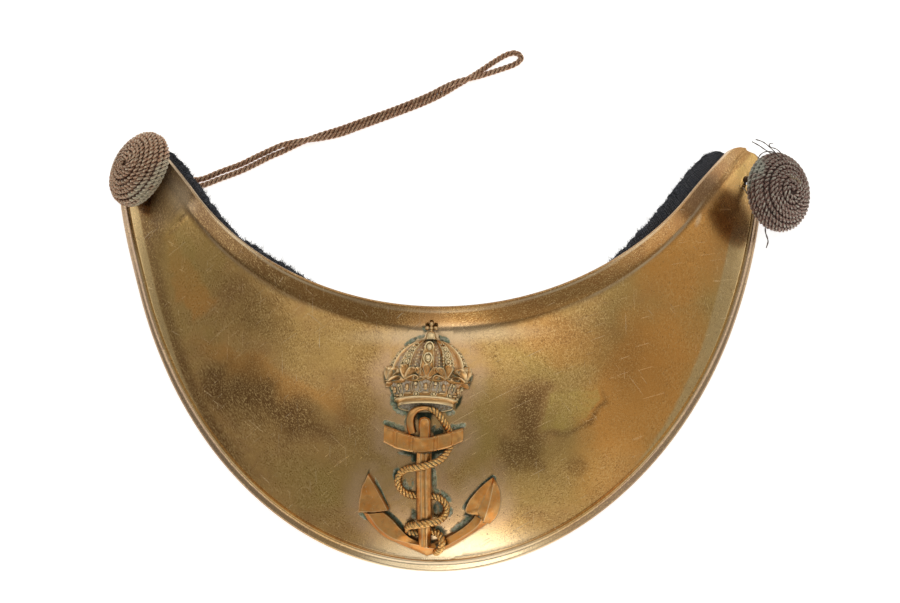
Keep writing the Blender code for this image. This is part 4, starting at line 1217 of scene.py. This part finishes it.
def add_orb_and_cross(shape):
    x = 0.33
    turn = np.linspace(0, TURN, 22, endpoint=False)
    orb = [np.stack([x + wide * np.cos(turn), np.full(22, height), 1.7 + wide * 0.85 * np.sin(turn)], -1)
           for wide, height in ((1.42, 22.35), (1.25, 22.7), (1.12, 23.1), (1.1, 23.5), (0.85, 23.95), (0.45, 24.2))]
    shape.grid(np.stack(orb), closed_columns=True, proud=0.75)
    for dx, height, size in ((0.0, 24.4, (0.36, 0.5)), (-0.95, 25.1, (0.56, 0.5)), (0.95, 25.1, (0.56, 0.5)),
                             (0.0, 26.0, (0.5, 0.62)), (0.0, 25.1, (0.5, 0.5))):
        add_bead(shape, (x + dx, height, 1.35), (*size, 0.5), sides=12, proud=0.5, salt=0.35)


STOCK_TOP = ((-9.5, 3.2), (-6.8, 2.2), (-3.6, 1.2), (-1.4, 0.8), (0.8, 0.9), (4.0, 1.8), (7.8, 2.9))
STOCK_FOOT = ((-9.4, -0.4), (-6.6, -1.7), (-4.1, -2.2), (-1.0, -2.6), (2.0, -2.0), (4.8, -1.2), (8.1, 0.3))
STOCK_BANDS = (-7.2, -6.4, -3.7, -2.9, 1.6, 2.4, 5.5)
LEFT_ARM = {
    "upper": ((-9.4, -16.0), (-7.4, -17.6), (-5.4, -19.7), (-3.5, -21.4), (-1.0, -22.4), (0.6, -22.7)),
    "ridge": ((-12.6, -16.2), (-10.5, -19.0), (-7.5, -21.2), (-4.3, -22.2), (-1.6, -22.7), (0.6, -23.2)),
    "lower": ((-14.2, -16.3), (-12.5, -18.6), (-9.5, -21.5), (-6.1, -23.1), (-2.6, -24.5), (0.5, -25.8)),
}
RIGHT_ARM = {
    "upper": ((-0.4, -22.7), (2.4, -22.4), (5.3, -21.1), (8.4, -19.1), (10.4, -17.2), (11.3, -15.8)),
    "ridge": ((-0.2, -23.3), (2.4, -23.4), (5.3, -22.5), (8.6, -20.5), (11.3, -18.5), (12.6, -16.2)),
    "lower": ((0.3, -25.8), (3.1, -24.8), (5.8, -23.6), (9.8, -21.0), (13.4, -18.4), (14.8, -16.6)),
}
LEFT_FLUKE = (
    (-13.0, -7.7), (-14.2, -10.4), (-14.7, -13.3), (-14.8, -15.9), (-11.7, -15.9), (-8.3, -15.4), (-10.6, -11.2),
)
RIGHT_FLUKE = {
    "inner": ((11.0, -15.9), (8.9, -15.4), (9.5, -13.2), (11.5, -10.6), (13.3, -8.9), (14.9, -7.7)),
    "crease": ((11.7, -15.9), (11.5, -15.3), (12.3, -13.6), (13.3, -11.4), (14.2, -9.6), (14.95, -7.8)),
    "ridge": ((12.7, -17.2), (13.3, -15.6), (13.8, -14.0), (14.3, -12.0), (14.7, -10.0), (15.0, -7.85)),
    "outer": ((14.3, -18.1), (15.7, -16.6), (16.5, -14.4), (16.6, -12.2), (16.2, -10.1), (15.1, -7.9)),
}
RING_ROUTE = (
    (0.9, 7.0, 1.6), (0.0, 7.3, 1.7), (-1.4, 7.25, 1.7), (-2.7, 6.7, 1.65), (-3.5, 5.6, 1.6), (-3.75, 4.2, 1.55),
    (-3.6, 2.9, 1.5), (-3.25, 1.7, 1.4),
)
ROPE_ROUTE = (
    # right, up, out of the plate
    (0.4, 7.1, 1.7), (1.5, 6.8, 1.9), (2.6, 5.7, 2.0), (3.6, 4.3, 1.8), (4.6, 2.8, 1.1), (5.2, 1.2, 0.8),
    (5.2, -0.6, 1.0), (4.5, -2.2, 1.5), (3.3, -3.7, 2.4), (1.5, -4.7, 3.4), (-0.6, -5.3, 3.8), (-2.5, -5.7, 3.2),
    (-4.3, -6.2, 1.9), (-5.7, -7.2, 1.1), (-6.3, -8.7, 0.9), (-6.0, -10.2, 0.9), (-4.9, -11.4, 0.9),
    (-3.4, -12.1, 0.8), (-1.6, -12.3, 0.7), (0.4, -12.2, 0.7), (2.2, -12.4, 0.8), (3.7, -13.1, 1.0),
    (4.5, -14.3, 1.1), (4.5, -15.8, 1.2), (3.6, -17.0, 1.8), (2.3, -17.4, 2.9), (0.4, -17.6, 3.8),
    (-1.7, -18.0, 3.5), (-3.2, -18.5, 2.3),
    (-4.0, -19.3, 1.2), (-3.7, -20.2, 0.9), (-2.4, -20.5, 0.8), (-0.6, -20.3, 0.8), (1.4, -20.1, 0.9),
    (3.0, -20.5, 1.5), (3.8, -21.6, 2.7), (3.6, -22.9, 3.1), (2.9, -24.0, 2.2), (2.4, -24.8, 0.8),
)
ROPE_RADIUS = 0.80
ROPE_LAY = 2.7


def add_loft(shape, lines, samples=40, smooth=True, marks=None):
    """Surface over lines that run the same way, each a list of points with height: its ends are closed."""
    rows = []
    for line in lines:
        route = smooth_route(line, 0.05) if smooth else np.asarray(line, float)
        rows.append(route[np.linspace(0, len(route) - 1, samples).astype(int)] if smooth else route)
    rows, marks = edged(rows, [0.0] * len(rows) if marks is None else marks)
    shape.grid(rows, capped="columns", proud=marks[:, None])


def edged(rows, marks, width=0.17):
    """Lines with a close neighbour on each side, so that a mark on a line stays on the edge that the line makes."""
    lines, shown = [rows[0]], [marks[0]]
    for before, after, mark in zip(rows, rows[1:], marks[1:]):
        apart = np.linalg.norm(after - before, axis=-1).mean()
        share = min(0.3, width / apart)
        lines += [before + (after - before) * share, after - (after - before) * share, after]
        shown += [0.0, 0.0, mark]
    return np.stack(lines), np.array(shown)


def lifted(line, height):
    heights = np.broadcast_to(height, len(line))
    return [(*point[:2], float(z)) for point, z in zip(line, heights)]


def inward(outline, amount):
    """A closed outline drawn in by an amount, corner by corner."""
    outline = np.asarray(outline, float)[:, :2]
    before, after = np.roll(outline, 1, 0), np.roll(outline, -1, 0)
    turn = np.sign((outline[:, 0] * after[:, 1] - after[:, 0] * outline[:, 1]).sum())
    normal = lambda way: unit(np.stack([-way[:, 1], way[:, 0]], 1)) * turn
    return outline + unit(normal(outline - before) + normal(after - outline)) * amount


def add_slab(shape, outline, height, peak=0.0, bevel=0.16):
    """Flat-topped piece of an outline, with a bevelled edge and its middle raised by a peak."""
    outline = np.asarray(outline, float)
    level, count = np.broadcast_to(height, len(outline)), len(outline)
    middle = inward(outline, bevel)
    rings = [np.column_stack([inward(outline, -0.1), np.full(count, EMBLEM_FOOT)]),
             np.column_stack([outline, level - bevel]), np.column_stack([middle, level]),
             np.column_stack([middle * 0.02 + middle.mean(0) * 0.98, np.full(count, level.mean() + peak)])]
    rings, shown = edged(rings, (0.0, 0.6, 1.0, 0.0))
    shape.grid(rings, closed_columns=True, capped="rows", proud=shown[:, None])


def anchor_shape():
    shape = Shape()
    foot = EMBLEM_FOOT
    beside_bands = [np.array((-0.14, -0.06, 0.06, 0.14)) + band for band in STOCK_BANDS]
    xs = np.unique(np.concatenate([np.linspace(-9.4, 7.9, 70), *beside_bands]))
    upper = np.interp(xs, *np.array(STOCK_TOP).T)
    lower = np.interp(xs, *np.array(STOCK_FOOT).T)
    band = 0.16 * np.max([hump(xs - place, 0.11) for place in STOCK_BANDS], 0)
    bend = 0.7 * ((xs + 1.0) / 8.8) ** 2
    line = lambda y, z: np.column_stack([xs, y, z + 0 * xs])
    add_loft(shape, (line(upper + 0.25, foot), line(upper + 0.12, 2.5 - bend), line(upper - 0.05, 3.05 - bend + band),
                     line(upper - 0.28, 3.25 - bend + band), line(lower + 0.26, 3.42 - bend + band),
                     line(lower + 0.02, 3.2 - bend + band), line(lower - 0.1, foot)),
             smooth=False, marks=(0, 0.6, 1.0, 0.4, 0.4, 1.0, 0))
    ys = np.linspace(-22.9, -1.5, 30)
    lean = np.interp(ys, (-22.9, -16.7, -6.7), (-0.05, -0.25, -0.6))
    narrow = np.interp(ys, (-22.9, -18.2, -17.8, -1.5), (0.84, 0.90, 1.0, 1.0))
    section = ((-1.70, foot), (-1.66, 1.7), (-1.48, 2.2), (-0.72, 3.0), (-0.5, 3.05), (-0.06, 2.86), (0.1, 2.86),
               (0.5, 3.05), (0.72, 3.0), (1.48, 2.2), (1.66, 1.7), (1.70, foot))
    add_loft(shape, [np.column_stack([lean + x * narrow, ys, np.full(len(ys), z)]) for x, z in section],
             smooth=False, marks=(0, 0.2, 0.5, 0.7, 1.0, 0.1, 0.1, 1.0, 0.7, 0.5, 0.2, 0))
    head = ((-1.85, 0.4), (-1.85, 4.4), (-1.55, 5.05), (-0.6, 5.35), (0.35, 5.05), (0.65, 4.4), (0.65, 0.4))
    add_slab(shape, head, 2.6, peak=0.15, bevel=0.42)
    ring = smooth_route(RING_ROUTE, 0.15)
    share = np.linspace(0, 1, len(ring))
    add_tube(shape, ring, np.interp(share, (0, 0.15, 0.5, 1), (0.75, 0.6, 0.92, 0.95)), sides=14, proud=0.12)
    inner = np.array((-1.0, 3.6, 0.0))
    edge = ring + (inner - ring) * (0.75 / np.linalg.norm(inner - ring, axis=1))[:, None] + (0, 0, 0.45)
    add_tube(shape, edge, 0.13, sides=6, proud=1.0)
    for arm, rise in ((LEFT_ARM, (1.5, 2.3)), (RIGHT_ARM, (1.2, 2.2))):
        add_loft(shape, (lifted(arm["upper"], foot), lifted(arm["upper"], rise[0]), lifted(arm["ridge"], rise[1]),
                         lifted(arm["lower"], 0.42), lifted(arm["lower"], foot)), marks=(0, 0.4, 1.0, 0.5, 0.2))
    add_slab(shape, LEFT_FLUKE, np.array((1.2, 1.5, 1.8, 2.2, 2.3, 2.1, 1.7)), peak=0.15, bevel=0.14)
    rise = np.linspace(1.0, 0.45, 6)
    levels = (("inner", foot), ("inner", 1.9 * rise), ("crease", 1.7 * rise), ("ridge", 2.7 * rise),
              ("outer", 0.7 * rise), ("outer", foot))
    add_loft(shape, [lifted(RIGHT_FLUKE[line_name], level) for line_name, level in levels],
             marks=(0, 0.9, 0.3, 1.0, 0.4, 0))
    return shape


def anchor_rope_shape():
    shape = Shape()
    add_laid_rope(shape, smooth_route(ROPE_ROUTE, 0.14), ROPE_RADIUS, 3, ROPE_LAY, sides=9, proud=0.45)
    return shape


def face_normals(points, faces):
    """Normal of each vertex, from the faces about it."""
    normals = np.zeros_like(points)
    for corners in (3, 4):
        some = np.array([face for face in faces if len(face) == corners], int).reshape(-1, corners)
        if len(some):
            across = np.cross(points[some[:, 2]] - points[some[:, 0]], points[some[:, -1]] - points[some[:, 1]])
            for column in range(corners):
                np.add.at(normals, some[:, column], across)
    return unit(normals)


def tree_of(*shapes):
    points, faces = [], []
    for shape in shapes:
        faces += [tuple(corner + sum(map(len, points)) for corner in face) for face in shape.faces]
        points.append(shape.all_points())
    return BVHTree.FromPolygons(np.concatenate(points).tolist(), faces)


def sheltered(shape, tree, reach=2.2, rays=14):
    """Share of the sky that the shape's own parts hide from each vertex, 0 in the open."""
    points = shape.all_points()
    normals = face_normals(points, shape.faces)
    outward = points - on_bowl(points[:, 0], points[:, 1], -4.0)
    normals *= np.where((normals * outward).sum(1) < -0.2, -1.0, 1.0)[:, None]
    golden = math.pi * (3.0 - math.sqrt(5.0))
    rise = (np.arange(rays) + 0.5) / rays
    ring = np.sqrt(1.0 - rise**2)
    local = np.stack([ring * np.cos(golden * np.arange(rays)), ring * np.sin(golden * np.arange(rays)), rise], 1)
    side = unit(np.cross(normals, np.where(np.abs(normals[:, :1]) < 0.8, (1.0, 0.0, 0.0), (0.0, 1.0, 0.0))))
    over = np.cross(normals, side)
    hits = np.zeros(len(points))
    for a, b, c in local:
        ways = side * a + over * b + normals * c
        for number, (start, way) in enumerate(zip((points + normals * 0.06).tolist(), ways.tolist())):
            if tree.ray_cast(start, way, reach)[0] is not None:
                hits[number] += 1
    return hits / rays


EMBLEM_PARTS = (
    # piece, what it stands for, how far rubbed, its colour there, how dark its hollows turn with soiling and painted
    # shade, and its colour elsewhere
    ("crown_relief", ["crown"], 0.75, (0.97, 0.78, 0.46), 0.45, (0.66, 0.35, 0.13)),
    ("anchor_relief", ["anchor"], 0.5, (0.97, 0.78, 0.46), 0.85, (0.78, 0.32, 0.075)),
    ("anchor_rope", [], 0.7, (0.98, 0.68, 0.27), 0.85, (0.78, 0.32, 0.075)),
)


def make_emblem(shapes, tree):
    for shape, (name, nodes, *wear) in zip(shapes, EMBLEM_PARTS):
        points = shape.all_points()
        # points low by the plate count as sheltered too, so soiling, salts and painted contact shade gather there
        low = 1 - smooth_step(points[:, 2] - on_bowl(*points[:, :2].T)[:, 2], 0.1, 0.9)
        hidden = np.clip(sheltered(shape, tree) + 0.35 * low, 0, 1)
        for part, values in zip(shape.marks, shape.parted(hidden)):
            part["shelter"] = values
        piece(name, shape, gilt_brass(name + "_brass", *wear), nodes, crease=32.0,
              marks=("shelter", "proud", "salt"))


# ---------------------------------------------------------------- buttons

BUTTONS = {
    "button_left": {"place": (-69.0, 51.8, -43.2), "axis": (-0.72, 0.38, 0.58), "seed": 4.0},
    "button_right": {"place": (77.5, 47.3, -43.0), "axis": (0.69, 0.09, 0.72), "seed": 9.0},
}
BUTTON_CORD = 0.62
BUTTON_PITCH = 1.15
BUTTON_LAY = 2.3
BUTTON_RADIUS = 8.82
BUTTON_EDGE, BUTTON_DOME = 2.2, 4.32
LEFT_STAIN_WAY = (0.60, -0.62, 0.2)  # from the left button's middle towards its stained side
RIGHT_STAIN_PLACE = (72.4, 51.4, -39.5)
RIGHT_STAIN_REACH = 7.0


def button_profile():
    """Radius and height of the cord's centre line from the apex outwards and under the edge."""
    radius = BUTTON_RADIUS * np.sin(np.linspace(0.06, 1.0, 40) * math.pi / 2)
    height = BUTTON_EDGE + BUTTON_DOME * np.sqrt(np.maximum(0.0, 1.0 - (radius / BUTTON_RADIUS) ** 2))
    height -= 0.9 * hump(radius, 0.7)
    under = np.array(((8.78, 1.5), (8.6, 0.95), (8.2, 0.62), (7.2, 0.58), (6.4, 0.58)))
    return np.concatenate([np.stack([radius, height], 1), under])


def button_shapes(place, axis, seed):
    """A domed core and the cord wound over it in a spiral from its apex to under its edge."""
    table = button_profile()
    gone = lengths_along(table)
    angle = np.linspace(0, gone[-1] / BUTTON_PITCH * TURN, 12000)
    reach = angle / TURN * BUTTON_PITCH
    wander = 0.11 * np.sin(angle * 0.73 + seed) + 0.07 * np.sin(angle * 1.9 + 2 * seed)
    wander *= smooth_step(reach, 0.5, 2.5)
    radius = np.interp(reach + wander, gone, table[:, 0])
    height = np.interp(reach + wander, gone, table[:, 1]) + 0.07 * np.sin(angle * 1.3 + seed)
    fine = np.column_stack([radius * np.cos(angle), radius * np.sin(angle), height])
    lengths = lengths_along(fine)
    wanted = np.arange(0, lengths[-1], 0.25)
    route = np.stack([np.interp(wanted, lengths, fine[:, part]) for part in range(3)], 1)
    rope = Shape()
    add_laid_rope(rope, route, BUTTON_CORD, 2, BUTTON_LAY, sides=7, wobble=0.3)
    core = Shape()
    around = np.linspace(0, TURN, 48, endpoint=False)
    slope = unit(np.gradient(table, axis=0))
    out = np.stack([-slope[:, 1], slope[:, 0]], 1)
    inner = np.maximum(table - out * 0.2, (0.01, 0.45))
    profile = np.concatenate([[(0.01, inner[0, 1])], inner, [(0.01, 0.45)]])
    rings = [np.column_stack([r * np.cos(around), r * np.sin(around), np.full(48, h)]) for r, h in profile]
    # the core counts as sheltered, so it takes the painted shade of the gaps
    core.grid(np.stack(rings), closed_columns=True, shelter=0.8)
    turn = np.array(Vector((0, 0, 1)).rotation_difference(Vector(axis)).to_matrix())
    points = rope.all_points()
    flat = np.column_stack([np.linalg.norm(points[:, :2], axis=1), points[:, 2]])
    closest = np.concatenate([((chunk[:, None] - table) ** 2).sum(-1).argmin(1) for chunk in np.array_split(flat, 40)])
    rope.crest = ((flat - table[closest]) * out[closest]).sum(1)
    for shape in (rope, core):
        shape.move(lambda points: points @ turn.T + np.array(place))
    return rope, core


THREAD_ENDS = (
    # loose thread ends at the right button, as points of the plate's frame, and their radius
    (((78.2, 56.2, -40.6), (76.4, 57.0, -40.2), (74.4, 58.3, -39.6), (72.7, 59.2, -39.2)), 0.13),
    (((79.2, 55.6, -40.0), (77.4, 57.4, -39.2), (75.4, 59.0, -38.6), (73.5, 59.7, -38.4)), 0.12),
    (((80.4, 55.6, -39.8), (78.6, 57.3, -38.8), (77.0, 57.9, -38.2), (76.7, 58.6, -38.0), (77.6, 58.8, -38.1)), 0.11),
    (((79.0, 56.0, -40.6), (77.2, 56.9, -39.6), (75.4, 56.7, -39.2), (74.3, 55.6, -40.0), (74.8, 54.6, -41.2)), 0.12),
    (((76.0, 40.6, -43.2), (76.1, 38.2, -43.4), (76.7, 36.2, -43.8), (76.3, 34.6, -44.2)), 0.16),
)
PALE_THREAD_ENDS = (
    (((74.6, 46.6, -43.0), (73.0, 47.2, -42.0), (71.9, 47.0, -41.4), (71.2, 48.0, -41.2), (70.7, 48.6, -41.4)), 0.22),
    (((84.0, 49.5, -37.9), (83.0, 50.4, -36.9), (82.2, 50.6, -36.8), (81.4, 51.2, -37.2)), 0.24),
)
BUTTON_COLOURS = {
    # of the thread in the gaps, a painted shade, on its sides and on its crests, and of its stains and painted glints
    "button_left": ((0.03, 0.013, 0.008), (0.21, 0.095, 0.055), (0.84, 0.49, 0.31), (1.0, 0.90, 0.68)),
    "button_right": ((0.025, 0.013, 0.011), (0.12, 0.065, 0.052), (0.48, 0.285, 0.235), (0.80, 0.80, 0.68)),
}
THREAD_COLOURS = {
    # of the thread in the gaps, a painted shade, on its sides and on its crests, and of its painted glints and stains
    "loose_thread": ((0.02, 0.015, 0.015), (0.04, 0.028, 0.028), (0.12, 0.09, 0.08), (0.2, 0.16, 0.13)),
    "pale_thread": ((0.25, 0.15, 0.08), (0.42, 0.27, 0.15), (0.70, 0.52, 0.33), (0.8, 0.7, 0.55)),
}


def make_button(name, rope, core):
    seat = BUTTONS[name]
    points = rope.all_points()
    spots = grain(points, 3.2, seat["seed"]) + 0.5 * grain(points, 1.1, seat["seed"] + 1)
    if name == "button_left":
        side = smooth_step((points - np.array(seat["place"])) @ np.array(LEFT_STAIN_WAY), -0.5, 6.5)
        stain = side * (0.85 + 0.6 * spots)
    else:
        apart = np.linalg.norm(points - np.array(RIGHT_STAIN_PLACE), axis=1)
        side = smooth_step(RIGHT_STAIN_REACH - apart, 0.0, 3.5)
        stain = side * (0.75 + 0.8 * spots) + 0.2 * smooth_step(spots, 0.4, 0.8)
    # painted light and shade: the winding is lighter on its crests and darker between its turns
    crest = smooth_step(rope.crest, -0.25, 0.55)
    for part, stains, crests in zip(rope.marks, rope.parted(np.clip(stain, 0, 1)), rope.parted(crest)):
        part["stain"], part["shelter"] = stains, np.maximum(1.0 - crests, 0.8 * part["shelter"])
    for part, thread, shape, shine, nodes in (("winding", "thread", rope, 0.35, [name]),
                                              ("core", "core_thread", core, 0.1, [])):
        finish = metal_thread(f"{name}_{thread}", *BUTTON_COLOURS[name], shine)
        piece(f"{name}_{part}", shape, finish, nodes, marks=THREAD_MARKS)


def make_threads():
    dark, pale = Shape(), Shape()
    for knots, radius in THREAD_ENDS:
        route = smooth_route(knots, 0.25)
        add_tube(dark, route, radius * (1.0 + 0.2 * np.sin(np.arange(len(route)))), sides=6)
    for knots, radius in PALE_THREAD_ENDS:
        add_laid_rope(pale, smooth_route(knots, 0.12), radius, 2, 0.9, sides=6)
    for name, shape in (("loose_thread", dark), ("pale_thread", pale)):
        piece(name + "_ends", shape, metal_thread(name, *THREAD_COLOURS[name], 0.2), marks=THREAD_MARKS)


# ---------------------------------------------------------------- studio

FLOOR_REACH = 3.0
# the paper glows and is paler about the gorget: a painted pool of light
FLOOR_GLOW = (0.172, 0.140)  # distances from the middle between which the paper takes up its glow
FLOOR_PALE = (0.19, 0.13)  # and between which it turns paler


def make_floor():
    mesh = bpy.data.meshes.new("floor")
    corners = [(x * FLOOR_REACH, y * FLOOR_REACH, 0) for x, y in ((-1, -1), (1, -1), (1, 1), (-1, 1))]
    mesh.from_pydata(corners, [], [(0, 1, 2, 3)])
    floor = bpy.data.objects.new("floor", mesh)
    bpy.context.scene.collection.objects.link(floor)
    finish = Finish("pale_floor", Roughness=0.9, Specular_IOR_Level=0.1)
    place = finish.node("TexCoord", output="Object")
    far = finish.node("VectorMath", {"operation": "LENGTH"}, {0: place}, output="Value")
    paper = finish.coated((0.80, 0.80, 0.80), ((0.84, 0.84, 0.835), finish.noise(place, 0.004, 3.0, 0.6)))
    shade = finish.coated((0.70, 0.70, 0.69), (paper, far.step(*FLOOR_PALE)))
    glow = finish.coated((0, 0, 0), ((1, 1, 1), far.step(*FLOOR_GLOW) * 0.75))
    mesh.materials.append(finish.feeds(Base_Color=shade, Emission_Color=glow, Emission_Strength=1.0))


ROOM = (0.34, 0.335, 0.32)
PANELS = (
    # compass direction, height, half width, half height and softness of edge in degrees, colour
    (90, 80, 42, 20, 8, (0.34, 0.33, 0.31)),
    (20, 73, 14, 12, 8, (0.45, 0.44, 0.41)),
    (-87, 25, 15, 5, 6, (0.8, 0.77, 0.7)),
    (-81, 23, 6, 3, 7, (1.5, 1.45, 1.35)),
    (-50, 24, 16, 8, 14, (0.34, 0.33, 0.30)),
    (8, 22, 28, 10, 12, (0.12, 0.115, 0.10)),
    (-143, 72, 8, 6, 8, (0.28, 0.27, 0.25)),
    (90, 13, 55, 8, 6, (1.0, 0.98, 0.94)),
)


def set_world():
    """Soft studio surroundings: a dim warm room with pale panels overhead, behind, in front and at the sides."""
    world = bpy.data.worlds.new("studio")
    bpy.context.scene.world = world
    world.use_nodes = True
    studio = Nodes(world.node_tree)
    direction = studio.node("TexCoord", output="Generated")

    def along(axis):
        return studio.node("VectorMath", {"operation": "DOT_PRODUCT"}, {0: direction, 1: axis}, output="Value")

    light = ROOM
    for compass, rise, half_width, half_height, soft, colour in PANELS:
        turn, lift = math.radians(compass), math.radians(rise)
        centre = Vector((math.cos(turn) * math.cos(lift), math.sin(turn) * math.cos(lift), math.sin(lift)))
        across = Vector((-math.sin(turn), math.cos(turn), 0.0))
        inside = along(centre).step(0.0, 0.1)
        for axis, half in ((across, half_width), (centre.cross(across), half_height)):
            edge, end = math.sin(math.radians(half)), math.sin(math.radians(min(half + soft, 89.0)))
            inside = inside * studio.node("Math", {"operation": "ABSOLUTE"}, {0: along(axis)}).step(end, edge)
        add = {"data_type": "RGBA", "blend_type": "ADD", "clamp_result": False}
        light = studio.node("Mix", add, {0: inside, 6: light, 7: colour}, output=2)
    background = world.node_tree.nodes["Background"]
    studio.join(light, background.inputs["Color"])
    background.inputs["Strength"].default_value = 1.0


def main():
    set_camera()
    make_cord()
    set_world()
    make_floor()
    shapes = (crown_shape(), anchor_shape(), anchor_rope_shape())
    for shape in shapes:
        shape.move(lambda points: np.column_stack([points[:, :2], np.maximum(points[:, 2], EMBLEM_FOOT)]))
        shape.move(on_plate)
    emblem = tree_of(*shapes)
    windings = {name: button_shapes(**seat) for name, seat in BUTTONS.items()}
    trees = [tree_of(core) for _, core in windings.values()]
    make_plate(emblem, trees)
    make_lining()
    make_emblem(shapes, emblem)
    for name, (winding, core) in windings.items():
        make_button(name, winding, core)
    make_threads()
    wire = steel_wire()
    for name in ("shank_left", "shank_right"):
        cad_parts[name].data.materials.clear()
        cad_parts[name].data.materials.append(wire)


bpy.context.scene.view_settings.view_transform = "Standard"
main()
